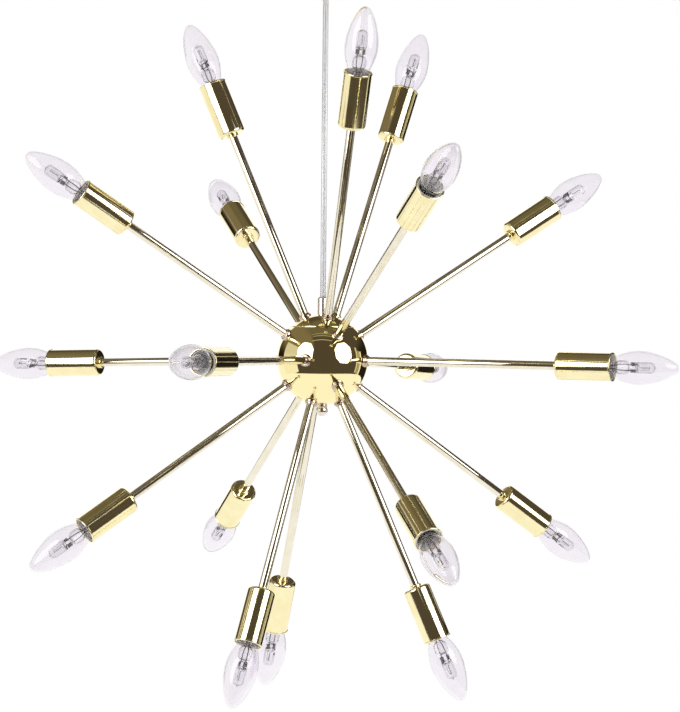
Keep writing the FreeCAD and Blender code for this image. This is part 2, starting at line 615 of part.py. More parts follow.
def finial_shape():
    """The ball-shaped nut that closes the bowl from below."""
    radius = FINIAL_DIAMETER / 2
    bottom = -BALL_RADIUS - FINIAL_HEIGHT
    ball = Part.makeSphere(radius, Vector(0, 0, bottom + radius))
    foot = rod(FINIAL_FOOT_DIAMETER / 2, bottom + radius, -BALL_RADIUS + 2)
    waist = rod(radius * 0.92, -BALL_RADIUS - FINIAL_FOOT_HEIGHT, -BALL_RADIUS + 2)
    waist = waist.makeFillet(FINIAL_FOOT_HEIGHT * 0.4,
                             circles_at(waist, -BALL_RADIUS - FINIAL_FOOT_HEIGHT, radius * 0.92))
    finial = ball.fuse([foot, waist]).cut(Part.makeSphere(BALL_RADIUS))
    thread_end = -BALL_RADIUS - FINIAL_HEIGHT * 0.6 - 0.5
    return finial.cut(rod(ROD_DIAMETER / 2 + THREAD_GAP, thread_end, 0))


# ---------------------------------------------------------------- the ceiling fitting
def canopy_shape():
    """A spun cup that hides the bracket, open against the ceiling."""
    radius = CANOPY_DIAMETER / 2
    outside = rod(radius, CANOPY_BOTTOM, 0)
    outside = outside.makeFillet(CANOPY_EDGE_ROUND, circles_at(outside, CANOPY_BOTTOM, radius))
    inside = rod(radius - CANOPY_WALL, CANOPY_BOTTOM + CANOPY_WALL, 1)
    inside = inside.makeFillet(CANOPY_EDGE_ROUND - CANOPY_WALL,
                               circles_at(inside, CANOPY_BOTTOM + CANOPY_WALL, radius - CANOPY_WALL))
    canopy = outside.cut(inside)
    canopy = canopy.cut(rod(BUSH_NECK_DIAMETER / 2 + HOLE_GAP, CANOPY_BOTTOM - CUT_MARGIN,
                            CANOPY_BOTTOM + CANOPY_WALL + CUT_MARGIN))
    screw_hole = Part.makeCylinder(CANOPY_SCREW_DIAMETER / 2 + HOLE_GAP, 2 * CANOPY_DIAMETER,
                                   Vector(-CANOPY_DIAMETER, 0, -CANOPY_SCREW_DROP), Vector(1, 0, 0))
    return canopy.cut(screw_hole)


def bracket_ear_distance():
    return CANOPY_DIAMETER / 2 - CANOPY_WALL - BRACKET_SIDE_GAP


def bracket_shape():
    """A steel strap whose middle is dropped to carry the cable, with an ear down at each end."""
    half_middle = BRACKET_MIDDLE_LENGTH / 2
    shoulder = half_middle + BRACKET_SLOPE_LENGTH
    ear = math.sqrt(bracket_ear_distance() ** 2 - (BRACKET_WIDTH / 2) ** 2)
    thick = BRACKET_THICKNESS
    lean = thick * 0.5
    right = [
        (half_middle, -BRACKET_DIP),
        (shoulder, -thick),
        (ear - thick, -thick),
        (ear - thick, -BRACKET_EAR_LENGTH),
        (ear, -BRACKET_EAR_LENGTH),
        (ear, 0),
        (shoulder - lean, 0),
        (half_middle - lean, -BRACKET_DIP + thick),
    ]
    left = [(-across, height) for across, height in reversed(right)]
    strap = outline(right + left).extrude(Vector(0, BRACKET_WIDTH, 0))
    strap.translate(Vector(0, -BRACKET_WIDTH / 2, 0))
    cuts = [rod(NIPPLE_DIAMETER / 2 + HOLE_GAP, -BRACKET_DIP - 1, 1)]
    for side in (-1, 1):
        place = Vector(side * CEILING_SCREW_SPACING / 2, 0, -thick - 1)
        cuts.append(Part.makeCylinder(CEILING_SCREW_HOLE / 2, thick + 2, place, UP))
    cuts.append(Part.makeCylinder(CANOPY_SCREW_DIAMETER / 2 + THREAD_GAP, 2 * ear + 2,
                                  Vector(-ear - 1, 0, -CANOPY_SCREW_DROP), Vector(1, 0, 0)))
    return strap.cut(cuts)


def canopy_screw_shapes():
    """Two round-headed screws through the canopy's sides into the bracket's ears."""
    screws = []
    ear = math.sqrt(bracket_ear_distance() ** 2 - (BRACKET_WIDTH / 2) ** 2)
    for side in (-1, 1):
        along = Vector(side, 0, 0)
        seat = CANOPY_DIAMETER / 2
        tip = ear - BRACKET_THICKNESS - CANOPY_SCREW_PAST_EAR
        shank = Part.makeCylinder(CANOPY_SCREW_DIAMETER / 2, seat - tip, Vector(side * tip, 0, -CANOPY_SCREW_DROP),
                                  along)
        head = Part.makeCylinder(CANOPY_SCREW_HEAD_DIAMETER / 2, CANOPY_SCREW_HEAD_HEIGHT,
                                 Vector(side * (seat - 0.2), 0, -CANOPY_SCREW_DROP), along)
        rim = [edge for edge in head.Edges if edge.Curve.TypeId == "Part::GeomCircle"
               and abs(edge.Curve.Center.x - side * (seat - 0.2 + CANOPY_SCREW_HEAD_HEIGHT)) < 1e-4]
        head = head.makeFillet(CANOPY_SCREW_HEAD_HEIGHT * 0.3, rim)
        head = head.cut(rod(CANOPY_DIAMETER / 2, CANOPY_BOTTOM, 0))
        screws.append(shank.fuse(head).removeSplitter())
    return screws


def bush_heights():
    """The bush's lower face, its shoulder against the canopy and its upper end."""
    return CANOPY_BOTTOM - BUSH_HEAD_HEIGHT, CANOPY_BOTTOM, CANOPY_BOTTOM + BUSH_NECK_HEIGHT


def swing_heights():
    """The two crossed bends of the cable: the upper one, and the lower one next to the bush's mouth."""
    low = bush_heights()[0]
    lower = low + CABLE_DIAMETER / 2 + SWING_GAP
    return lower + SWING_SPACING, lower


def bush_shape():
    """The bush under the canopy, with a flared mouth that lets the cable swing without chafing."""
    low, seat, high = bush_heights()
    head = rod(BUSH_DIAMETER / 2, low, seat)
    head = head.makeFillet(BUSH_ROUND, circles_at(head, low, BUSH_DIAMETER / 2))
    neck = rod(BUSH_NECK_DIAMETER / 2, seat, high)
    flare = Part.makeCone(BUSH_MOUTH_RADIUS, CABLE_BORE / 2 + SWING_GAP, high - low + 0.2, Vector(0, 0, low - 0.1), UP)
    return head.fuse(neck).cut(flare)


def bush_nut_shape():
    return hex_nut(BUSH_NUT_FLATS, BUSH_NUT_HEIGHT, BUSH_NECK_DIAMETER + 2 * THREAD_GAP,
                   CANOPY_BOTTOM + CANOPY_WALL)


def anchor_low():
    return -BRACKET_DIP - ANCHOR_HEIGHT


def anchor_shape():
    """The grip under the bracket that carries the cable, threaded up through the strap."""
    body = rod(ANCHOR_DIAMETER / 2, anchor_low(), -BRACKET_DIP)
    body = body.makeChamfer(1.0, circles_at(body, anchor_low(), ANCHOR_DIAMETER / 2))
    top = -BRACKET_DIP + BRACKET_THICKNESS + ANCHOR_NUT_HEIGHT + THREAD_PAST_NUT
    thread = rod(NIPPLE_DIAMETER / 2, -BRACKET_DIP, top)
    anchor = body.fuse(thread).cut(rod(CABLE_BORE / 2, anchor_low() - 1, top + 1))
    hole = Part.makeCylinder(GRUB_SCREW_DIAMETER / 2 + THREAD_GAP, ANCHOR_DIAMETER, Vector(0, 0, anchor_screw_height()),
                             Vector(1, 0, 0))
    return anchor.cut(hole)


def anchor_screw_height():
    return anchor_low() + ANCHOR_HEIGHT / 2


def anchor_screw_shape():
    return grub_screw(ANCHOR_DIAMETER / 2, anchor_screw_height(), CABLE_DIAMETER / 2)


def anchor_nut_shape():
    return hex_nut(ANCHOR_NUT_FLATS, ANCHOR_NUT_HEIGHT, NIPPLE_DIAMETER + 2 * THREAD_GAP,
                   -BRACKET_DIP + BRACKET_THICKNESS)


def terminal_shape():
    """The block on the bracket where the supply meets the lamp's cable, with a row of screw wells."""
    low = -BRACKET_DIP + BRACKET_THICKNESS
    block = Part.makeBox(TERMINAL_WIDTH, TERMINAL_LENGTH, TERMINAL_HEIGHT,
                         Vector(TERMINAL_FROM_AXIS, -TERMINAL_LENGTH / 2, low))
    pitch = TERMINAL_LENGTH / TERMINAL_WELLS
    wells = []
    for place in range(TERMINAL_WELLS):
        across = -TERMINAL_LENGTH / 2 + pitch * (place + 0.5)
        wells.append(Part.makeCylinder(TERMINAL_WELL_DIAMETER / 2, TERMINAL_WELL_DEPTH + 1,
                                       Vector(TERMINAL_FROM_AXIS + TERMINAL_WIDTH / 2, across,
                                              low + TERMINAL_HEIGHT - TERMINAL_WELL_DEPTH), UP))
    return block.cut(wells)


def cable_top():
    return -BRACKET_DIP + BRACKET_THICKNESS + ANCHOR_NUT_HEIGHT + THREAD_PAST_NUT + CABLE_PAST_ANCHOR


def supply_core_shapes():
    """The cable's two cores, from its end to the terminal block."""
    cores = []
    for side in (-1, 1):
        place = Vector(0, side * CORE_SPACING / 2, cable_top() - CORE_SPACING / 2)
        core = Part.makeCylinder(CORE_DIAMETER / 2, TERMINAL_FROM_AXIS, place, Vector(1, 0, 0))
        cores.append(core.cut(rod(CABLE_DIAMETER / 2, cable_top() - CABLE_DIAMETER, cable_top() + CABLE_DIAMETER)))
    return cores


# ---------------------------------------------------------------- the cable
def cable_stub_shape():
    """The fixed end of the cable, from the terminal block down to its first bend."""
    upper = swing_heights()[0]
    return rod(CABLE_DIAMETER / 2, upper + CABLE_DIAMETER / 2 + SWING_GAP, cable_top())


def cable_neck_shape():
    """The short stretch inside the bush that bends one way at its top and the other way at its bottom."""
    upper, lower = swing_heights()
    neck = rod(CABLE_DIAMETER / 2, lower, upper)
    ends = [Part.makeSphere(CABLE_DIAMETER / 2, Vector(0, 0, height)) for height in (upper, lower)]
    return neck.fuse(ends)


def cable_shape():
    """The free cable between the bush and the ball's stem, pulled straight by the lamp's weight."""
    top = swing_heights()[1] - CABLE_DIAMETER / 2 - SWING_GAP
    return rod(CABLE_DIAMETER / 2, STEM_TOP, top)


def cable_tail_shape():
    """The end of the cable that is held in the stem and ends inside the stirrup."""
    return rod(CABLE_DIAMETER / 2, nipple_low() - CEILING_TO_BALL - 2, STEM_TOP)


def tail_core_shapes():
    """The cable's two cores, bared inside the stirrup's window, down to the junction block."""
    cores = []
    high = nipple_low() - CEILING_TO_BALL - 2
    low = JUNCTION_HEIGHT / 2 + STIRRUP_PLATE - CEILING_TO_BALL
    for side in (-1, 1):
        place = Vector(0, side * CORE_SPACING / 2, low)
        cores.append(Part.makeCylinder(CORE_DIAMETER / 2, high - low, place, UP))
    return cores


# ---------------------------------------------------------------- put together
def whole_model():
    """Every piece by its node's name, as a list of separate solids."""
    nodes = {
        "ceiling_bracket": [bracket_shape()],
        "canopy": [canopy_shape()],
        "canopy_screws": canopy_screw_shapes(),
        "canopy_bush": [bush_shape()],
        "bush_nut": [bush_nut_shape()],
        "cable_anchor": [anchor_shape()],
        "anchor_nut": [anchor_nut_shape()],
        "anchor_screw": [anchor_screw_shape()],
        "mains_terminal": [terminal_shape()],
        "supply_cores": supply_core_shapes(),
        "cable_stub": [cable_stub_shape()],
        "cable_neck": [cable_neck_shape()],
        "cable": [cable_shape()],
        "cable_tail": [cable_tail_shape()],
        "tail_cores": tail_core_shapes(),
        "stem_grip": [lowered(stem_shape())],
        "stem_screw": [lowered(stem_screw_shape())],
        "stem_nipple": [lowered(nipple_shape())],
        "stem_nut": [lowered(top_nut_shape())],
        "wiring_stirrup": [lowered(stirrup_shape())],
        "centre_rod": [lowered(rod_shape())],
        "rod_nuts": [lowered(nut) for nut in rod_nut_shapes()],
        "junction_block": [lowered(junction_shape())],
        "ball_cap": [lowered(ball_cap_shape())],
        "ball_bowl": [lowered(ball_bowl_shape())],
        "finial": [lowered(finial_shape())],
    }
    arm = arm_shape()
    cup = cup_shape()
    repeated = {
        "ball_collars": [collar_shape()],
        "lock_nuts": [hex_nut(LOCK_NUT_FLATS, LOCK_NUT_HEIGHT, ARM_THREAD_DIAMETER + 2 * THREAD_GAP,
                              LOCK_NUT_REACH)],
        "cup_collars": [cup_collar_shape()],
        "lamp_holders": [holder_shape()],
        "holder_contacts": contact_shapes(),
    }
    for name in repeated:
        nodes[name] = []
    nodes["arm_leads"] = []
    lead = lead_shape()
    junction = nodes["junction_block"][0]
    bulb = bulb_shapes()
    number = 0
    for ring in ARM_DIRECTIONS:
        nodes[ring[0] + "_arms"] = []
        nodes[ring[0] + "_cups"] = []
        for elevation, direction in arm_directions(ring):
            number += 1
            nodes[ring[0] + "_arms"].append(out_along(arm, elevation, direction))
            nodes[ring[0] + "_cups"].append(out_along(cup, elevation, direction))
            nodes["arm_leads"].append(out_along(lead, elevation, direction).cut(junction))
            nodes["bulb_%02d" % number] = [out_along(piece, elevation, direction) for piece in bulb]
            for name, pieces in repeated.items():
                nodes[name] += [out_along(piece, elevation, direction) for piece in pieces]
    return nodes


def export(nodes):
    os.makedirs("parts", exist_ok=True)
    for name, pieces in nodes.items():
        shape = pieces[0] if len(pieces) == 1 else Part.makeCompound(pieces)
        shape.exportStep("parts/" + name + ".step")


export(whole_model())
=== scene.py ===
"""Sputnik chandelier, dressed: a polished brass ball on a clear cable, with eighteen arms that carry bulbs.

Sizes are millimetres and angles are degrees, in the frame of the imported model: the origin is the middle of
the ceiling face and +Z is up. A mesh is turned to metres as it is made. An arm, its cup, its lamp holder and
its bulb are drawn standing on the ball's centre, pointing up +Z, and are then turned out to the arm.
"""

import math

import bmesh
import bpy
from mathutils import Matrix, Vector


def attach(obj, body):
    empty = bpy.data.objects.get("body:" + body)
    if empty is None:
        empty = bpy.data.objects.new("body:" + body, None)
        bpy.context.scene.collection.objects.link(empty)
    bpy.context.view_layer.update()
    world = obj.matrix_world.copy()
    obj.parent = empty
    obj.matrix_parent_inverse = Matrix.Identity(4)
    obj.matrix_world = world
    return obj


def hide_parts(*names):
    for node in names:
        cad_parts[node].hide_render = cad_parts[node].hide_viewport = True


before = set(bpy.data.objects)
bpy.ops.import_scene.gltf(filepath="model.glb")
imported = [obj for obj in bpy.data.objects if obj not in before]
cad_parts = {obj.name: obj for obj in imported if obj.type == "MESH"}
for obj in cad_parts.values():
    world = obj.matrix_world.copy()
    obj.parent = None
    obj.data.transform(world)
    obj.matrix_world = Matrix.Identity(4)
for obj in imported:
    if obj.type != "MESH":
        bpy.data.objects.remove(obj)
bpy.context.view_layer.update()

# ---- sizes
MM = 0.001
CEILING_TO_BALL = 438.0

# each ring of arms: its name, angle above the horizon, number of arms, direction of the first arm
ARM_RINGS = (
    ("top", 67.0, 3, 46.0),
    ("upper", 32.0, 4, 23.0),
    ("middle", -1.0, 4, 69.0),
    ("lower", -34.0, 4, 24.0),
    ("bottom", -67.0, 3, 114.0),
)

BALL_RADIUS = 49.0
BALL_WALL = 1.5
SEAM_HEIGHT = 35.0
SEAM_GAP = 0.3
SEAM_ROUND = 0.3
LIP_HEIGHT = 4.0
LIP_WALL = 1.2
LIP_GAP = 0.05

THREAD_RADIUS = 4.0
HOLE_RADIUS = 4.1
ARM_RADIUS = 4.5
ARM_BORE = 3.25
ARM_START = BALL_RADIUS - 6.0
HOLE_CUT_TOP = BALL_RADIUS + 4.0
COLLAR_RADIUS = 6.7
COLLAR_STEP_RADIUS = 5.6
COLLAR_HEIGHT = 3.6
COLLAR_STEP_HEIGHT = 1.5
COLLAR_TOP = BALL_RADIUS + COLLAR_HEIGHT

CUP_BASE = 262.0
CUP_MOUTH = 322.0
CUP_RADIUS = 14.75
CUP_WALL = 1.0
CUP_FLOOR = 1.6
CUP_SHOULDER = 3.2
CUP_LIP = 0.5
CUP_LIP_HEIGHT = 1.8
CUP_LIP_ROUND = 0.7
CUP_COLLAR_RADIUS = 6.2
CUP_COLLAR_HEIGHT = 2.6
ARM_END = CUP_BASE - CUP_COLLAR_HEIGHT

HOLDER_RADIUS = 13.5
HOLDER_LOW = CUP_BASE + CUP_FLOOR
HOLDER_MOUTH = CUP_MOUTH - 1.2
HOLDER_WELL_RADIUS = 9.5
HOLDER_SINK_RADIUS = 12.0
HOLDER_SINK_DEPTH = 4.5
SHELL_RADIUS = 7.75
SHELL_WALL = 0.5
SHELL_LENGTH = 14.0
TONGUE_HALF_WIDTH = 3.0
TONGUE_THICKNESS = 0.6

BULB_TIP = CUP_MOUTH + 69.5
BULB_END = BULB_TIP - 99.0
WELL_FLOOR = BULB_END - 11.9
THREAD_END = HOLDER_LOW + (WELL_FLOOR - HOLDER_LOW) * 0.7
BULB_RADIUS = 17.5
GLASS_BASE = BULB_END + 24.0
GLASS_LENGTH = BULB_TIP - GLASS_BASE
GLASS_WALL = 0.9
GLASS_NECK_RADIUS = 7.8
GLASS_WIDEST_HEIGHT = 31.5
NOSE_RADIUS = 6.7
NOSE_LEAN = 39.0
SCREW_PITCH = 2.82
SCREW_TURNS = 5
SCREW_CREST = 6.95
SCREW_ROOT = 6.45
SCREW_WALL = 0.5
INSULATOR_HEIGHT = 3.4
CONTACT_RADIUS = 2.5
CONTACT_HEIGHT = 1.4
SCREW_LOW = BULB_END + CONTACT_HEIGHT + INSULATOR_HEIGHT
SCREW_TOP = SCREW_LOW + SCREW_TURNS * SCREW_PITCH

FLARE_RADIUS = 7.3
FLARE_NECK_RADIUS = 3.8
FLARE_WALL = 1.0
FLARE_HEIGHT = 22.5
CAPSULE_RADIUS = 5.8
CAPSULE_WALL = 1.1
CAPSULE_LOW = 30.5  # the capsule's heights are counted from the glass's lower end
CAPSULE_HIGH = 50.0
CAPSULE_DOME = 4.2
PINCH_LOW = 24.5
PINCH_HALF_WIDTH = 5.5
PINCH_HALF_DEPTH = 2.2
SUPPORT_WIRE_RADIUS = 0.55
SUPPORT_WIRE_SPREAD = 3.2
FOIL_HALF_WIDTH = 1.5
FILAMENT_TURNS = 14
FILAMENT_LOW = CAPSULE_LOW + 4.5
FILAMENT_HIGH = CAPSULE_LOW + 14.5
FILAMENT_RADIUS = 0.65
BULB_SPIN = math.radians(40)  # the bulbs' wires stand up to this far out of the photograph's plane
BULB_SPIN_STEP = 2.3

STEM_RADIUS = 5.5
STEM_TOP = BALL_RADIUS + 18.0
STEM_BEVEL = 1.2
CABLE_BORE = 3.2
NIPPLE_RADIUS = 5.0
NIPPLE_TOP = BALL_RADIUS + 6.0
ROD_HOLE_RADIUS = 3.1
FINIAL_RADIUS = 6.1
FINIAL_HEIGHT = 11.2
FINIAL_NECK_RADIUS = 4.5
FINIAL_FOOT_RADIUS = 5.6
FINIAL_FOOT_HEIGHT = 1.6

CANOPY_RADIUS = 55.0
CANOPY_HEIGHT = 42.0
CANOPY_WALL = 1.2
CANOPY_ROUND = 9.0
CANOPY_SCREW_DROP = 9.0
CANOPY_SCREW_RADIUS = 2.0
CANOPY_SCREW_HEAD = (4.5, 5.0)
BUSH_RADIUS = 8.5
BUSH_NECK_RADIUS = 7.0
BUSH_BORE = 3.5
BUSH_FLARE_RADIUS = 5.9
BUSH_LOW = -47.0
BUSH_HIGH = -35.0
BRACKET_DIP = 18.0
BRACKET_THICKNESS = 2.0
BRACKET_HALF_WIDTH = 10.0
BRACKET_HALF_MIDDLE = 27.0
BRACKET_SLOPE = 4.0
BRACKET_EAR = math.sqrt((CANOPY_RADIUS - CANOPY_WALL - 1.0) ** 2 - BRACKET_HALF_WIDTH**2)
BRACKET_EAR_LENGTH = 15.0
CEILING_SCREW_SPACING = 78.0
CEILING_SCREW_HOLE = 2.6
TERMINAL_LOW = (10.0, -12.0, -BRACKET_DIP + BRACKET_THICKNESS)
TERMINAL_HIGH = (23.0, 12.0, -BRACKET_DIP + BRACKET_THICKNESS + 11.0)
TERMINAL_WELLS = 3
TERMINAL_WELL_RADIUS = 2.0
TERMINAL_WELL_DEPTH = 4.0

CABLE_RADIUS = 3.0
CABLE_END = 36.0  # the stretch at each end that is given to the route as a point of its own
CABLE_CORE_RADIUS = 0.85
CABLE_CORE_OFFSET = 0.95
CABLE_CORE_LAY = 900.0  # one full twist of the cores takes this much of the cable

# ---- the photograph's view
VIEW_WIDTH = 680
VIEW_HEIGHT = 712
VIEW_FOCAL_PIXELS = 3170.4
VIEW_DISTANCE = 3387.6
VIEW_PITCH = -0.49
VIEW_ROLL = 0.54
BALL_PIXEL = (322.4, 359.74)
SENSOR_LONG_SIDE = 36.0

# ---- the studio
FLOOR_DROP = 810.0  # below the ball's centre
FLOOR_MIDDLE = 1050.0  # behind the ball
FLOOR_HALF_WIDTH = 1970.0
FLOOR_HALF_DEPTH = 2190.0
# the two soft boxes: direction, height, half width and half height in degrees, distance from the ball
LEFT_BOX = (-45.0, 14.0, 20.0, 24.5, 1080.0)
RIGHT_BOX = (55.5, 15.0, 21.4, 22.0, 1020.0)
SOFT_BOX_LIGHT = 4.0
SOFT_BOX_CUT = 0.47  # where the corners are cut off, as a share of the half width and half height
FLOOR_CORNERS = 96
PAPER = ((0.88, 0.88, 0.87, 1), (0.92, 0.92, 0.91, 1))
PAPER_GLOW = (1.0, 0.99, 0.97, 1)
PAPER_LIGHT = 0.22
PLAIN_WHITE = (1.0, 1.0, 1.0, 1)
SOFT_WHITE = (0.95, 0.95, 0.95, 1)
SEEN_THROUGH_GLASS = (0.80, 0.78, 0.82, 1)
ROOM = (0.082, 0.066, 0.050, 1)
ROOM_FRONT = (0.016, 0.013, 0.011, 1)
ROOM_LEFT = (0.21, 0.17, 0.11, 1)
ROOM_TOP = (0.15, 0.13, 0.075, 1)
GROUND = (1.05, 1.04, 1.0, 1)
WALL = ((1.0, 0.98, 0.90, 1), (0.70, 0.67, 0.58, 1))
# what gloss sees on the room's walls: azimuth, elevation, half width and half height, and for most a colour
LEFT_WALL = (-90.5, 0, 23.5, 27)
WINDOWS = (
    ((98, 0, 2.5, 21), (0.70, 0.66, 0.45, 1)),
    ((105, -4, 2.5, 18), (0.50, 0.46, 0.30, 1)),
    ((112.5, -6, 3.0, 18), (0.95, 0.92, 0.80, 1)),
    ((185, 3, 27, 32), (1.15, 1.15, 1.15, 1)),
    ((0, 51, 24, 0.8), (0.60, 0.56, 0.40, 1)),
    ((0, 63, 20, 0.8), (0.45, 0.42, 0.30, 1)),
    ((0, 69.5, 22, 0.8), (0.40, 0.37, 0.26, 1)),
)


# ---- outlines
def arc(across, height, radius, start, end, steps=6):
    """Points of an arc in the plane of an outline, from one angle to another."""
    points = []
    for k in range(steps + 1):
        angle = math.radians(start + (end - start) * k / steps)
        points.append((across + radius * math.cos(angle), height + radius * math.sin(angle)))
    return points


def cubic(start, first_pull, last_pull, end, steps=12):
    """Points of a cubic curve, without its last one."""
    points = []
    for k in range(steps):
        t = k / steps
        shares = ((1 - t) ** 3, 3 * (1 - t) ** 2 * t, 3 * (1 - t) * t * t, t**3)
        both = [sum(share * place[axis] for share, place in zip(shares, (start, first_pull, last_pull, end)))
                for axis in (0, 1)]
        points.append(tuple(both))
    return points


def rounded(corners, closed=True, steps=4):
    """The points of an outline whose corners (across, height, round) are each rounded to their own radius."""
    points = []
    count = len(corners)
    for k, (across, height, radius) in enumerate(corners):
        at_end = not closed and k in (0, count - 1)
        if radius == 0 or at_end:
            points.append((across, height))
            continue
        here = Vector((across, height))
        back = (Vector(corners[k - 1][:2]) - here).normalized()
        on = (Vector(corners[(k + 1) % count][:2]) - here).normalized()
        half = back.angle(on) / 2
        centre = here + (back + on).normalized() * (radius / math.sin(half))
        first = here + back * (radius / math.tan(half)) - centre
        last = here + on * (radius / math.tan(half)) - centre
        for step in range(steps + 1):
            points.append(tuple(centre + first.lerp(last, step / steps).normalized() * radius))
    return points


def on_ball(across, inset=0.0):
    """How high the ball's skin is above its centre, this far from the vertical axis."""
    return math.sqrt((BALL_RADIUS - inset) ** 2 - across**2)


# ---- shapes
class Shape:
    """Points and faces in millimetres, with the place each point had before its piece was turned out."""

    def __init__(self, points, faces, drawn=None):
        self.points = [Vector(point) for point in points]
        self.faces = faces
        self.drawn = drawn or [point.copy() for point in self.points]

    def moved(self, matrix, shift=Vector()):
        """A copy that is moved; shift moves only where its grain is read from, so that copies differ."""
        points = [matrix @ point for point in self.points]
        return Shape(points, self.faces, [place + shift for place in self.drawn])


def lathe(outline, around=48, hollow=False):
    """Turn an outline of (across, height) points about +Z; it closes on itself or along the axis."""
    sides = zip(outline, outline[1:] + outline[:1])
    area = sum(here[0] * there[1] - there[0] * here[1] for here, there in sides)
    if (area < 0) != hollow:
        outline = outline[::-1]
    points = []
    rows = []
    for across, height in outline:
        if across < 1e-6:
            rows.append([len(points)] * around)
            points.append((0, 0, height))
            continue
        rows.append(list(range(len(points), len(points) + around)))
        for k in range(around):
            turn = 2 * math.pi * k / around
            points.append((across * math.cos(turn), across * math.sin(turn), height))
    faces = []
    for low, high in zip(rows, rows[1:] + rows[:1]):
        if low[0] == low[1] and high[0] == high[1]:
            continue
        for k in range(around):
            on = (k + 1) % around
            faces.append(tuple(dict.fromkeys((low[k], low[on], high[on], high[k]))))
    return Shape(points, faces)


def pin(radius, low, high):
    """A plain rod along +Z."""
    return lathe([(0, low), (radius, low), (radius, high), (0, high)], 32)


def skinned(points, rows, around):
    """The closed form through rows of points that lie one above the other."""
    faces = []
    for start in range(0, (rows - 1) * around, around):
        for k in range(around):
            low, on = start + k, start + (k + 1) % around
            faces.append((low, on, on + around, low + around))
    faces.append(tuple(reversed(range(around))))
    faces.append(tuple(range((rows - 1) * around, rows * around)))
    return Shape(points, faces)


def loft(sections, around=32):
    """A closed form through sections of (height, half width, half depth, squareness)."""
    points = []
    for height, wide, deep, square in sections:
        for k in range(around):
            turn = 2 * math.pi * k / around
            cosine, sine = math.cos(turn), math.sin(turn)
            points.append((wide * math.copysign(abs(cosine) ** (2 / square), cosine),
                           deep * math.copysign(abs(sine) ** (2 / square), sine), height))
    return skinned(points, len(sections), around)


def wire(path, radius, around=8):
    """A round wire along a path of points, with flat ends."""
    path = [Vector(place) for place in path]
    side = Vector()
    points = []
    for k, place in enumerate(path):
        along = (path[min(k + 1, len(path) - 1)] - path[max(k - 1, 0)]).normalized()
        if side.length == 0:
            side = along.orthogonal()
        side = (side - along * side.dot(along)).normalized()
        across = along.cross(side)
        for turn in range(around):
            angle = 2 * math.pi * turn / around
            points.append(place + (side * math.cos(angle) + across * math.sin(angle)) * radius)
    return skinned(points, len(path), around)


def prism(corners, half_depth, bevel):
    """A plate whose outline lies in the XZ plane, with its edges softened."""
    form = bmesh.new()
    near = [form.verts.new((across, -half_depth, height)) for across, height in corners]
    face = form.faces.new(near)
    made = bmesh.ops.extrude_face_region(form, geom=[face])
    for item in made["geom"]:
        if isinstance(item, bmesh.types.BMVert):
            item.co.y = half_depth
    bmesh.ops.recalc_face_normals(form, faces=form.faces[:])
    bmesh.ops.bevel(form, geom=form.edges[:], offset=bevel, segments=2, profile=0.5, affect="EDGES",
                    clamp_overlap=True)
    form.verts.index_update()
    faces = [tuple(vertex.index for vertex in face.verts) for face in form.faces]
    shape = Shape([vertex.co for vertex in form.verts], faces)
    form.free()
    return shape


def knurled(shape, low, high, depth):
    """Every other point of a turned shape drawn in, between two heights."""
    points = [point.copy() for point in shape.points]
    for k, point in enumerate(points):
        if low < point.z < high and k % 2:
            point.x *= 1 - depth
            point.y *= 1 - depth
    return Shape(points, shape.faces)


# ---- pieces
def new_mesh(name, shapes, material, crease=38.0):
    """One mesh of several shapes, in metres, smooth except at its creases."""
    points = []
    faces = []
    drawn = []
    for shape in shapes:
        start = len(points)
        points += [point * MM for point in shape.points]
        faces += [tuple(start + corner for corner in face) for face in shape.faces]
        for place in shape.drawn:
            drawn += list(place)
    mesh = bpy.data.meshes.new(name)
    mesh.from_pydata(points, [], faces)
    mesh.attributes.new("drawn_at", "FLOAT_VECTOR", "POINT").data.foreach_set("vector", drawn)
    mesh.materials.append(material)
    finish_mesh(mesh, crease)
    return mesh


def finish_mesh(mesh, crease):
    mesh.shade_smooth()
    mesh.set_sharp_from_angle(angle=math.radians(crease))


def new_object(name, data):
    thing = bpy.data.objects.new(name, data)
    bpy.context.scene.collection.objects.link(thing)
    return thing


def evaluated_mesh(thing):
    """The mesh that an object's modifiers or its curve come out as."""
    bpy.context.view_layer.update()
    return bpy.data.meshes.new_from_object(thing.evaluated_get(bpy.context.evaluated_depsgraph_get()))


def put(name, data, body, replaces=(), matrix=None):
    """A piece of the lamp: it rides on a body and stands for the nodes that it replaces."""
    thing = new_object(name, data)
    if matrix is not None:
        thing.matrix_world = matrix
    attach(thing, body)
    if replaces:
        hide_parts(*replaces)
    return thing


def with_cuts(mesh, shapes, crease=38.0):
    """The mesh with the shapes taken out of it."""
    thing = new_object("to_cut", mesh)
    cutter = new_object("cutter", new_mesh("cutter", shapes, mesh.materials[0]))
    modifier = thing.modifiers.new("cut", "BOOLEAN")
    modifier.operation = "DIFFERENCE"
    modifier.solver = "EXACT"
    modifier.object = cutter
    made = evaluated_mesh(thing)
    made.name = mesh.name + "_cut"
    for item in (thing, cutter):
        bpy.data.objects.remove(item)
    finish_mesh(made, crease)
    return made


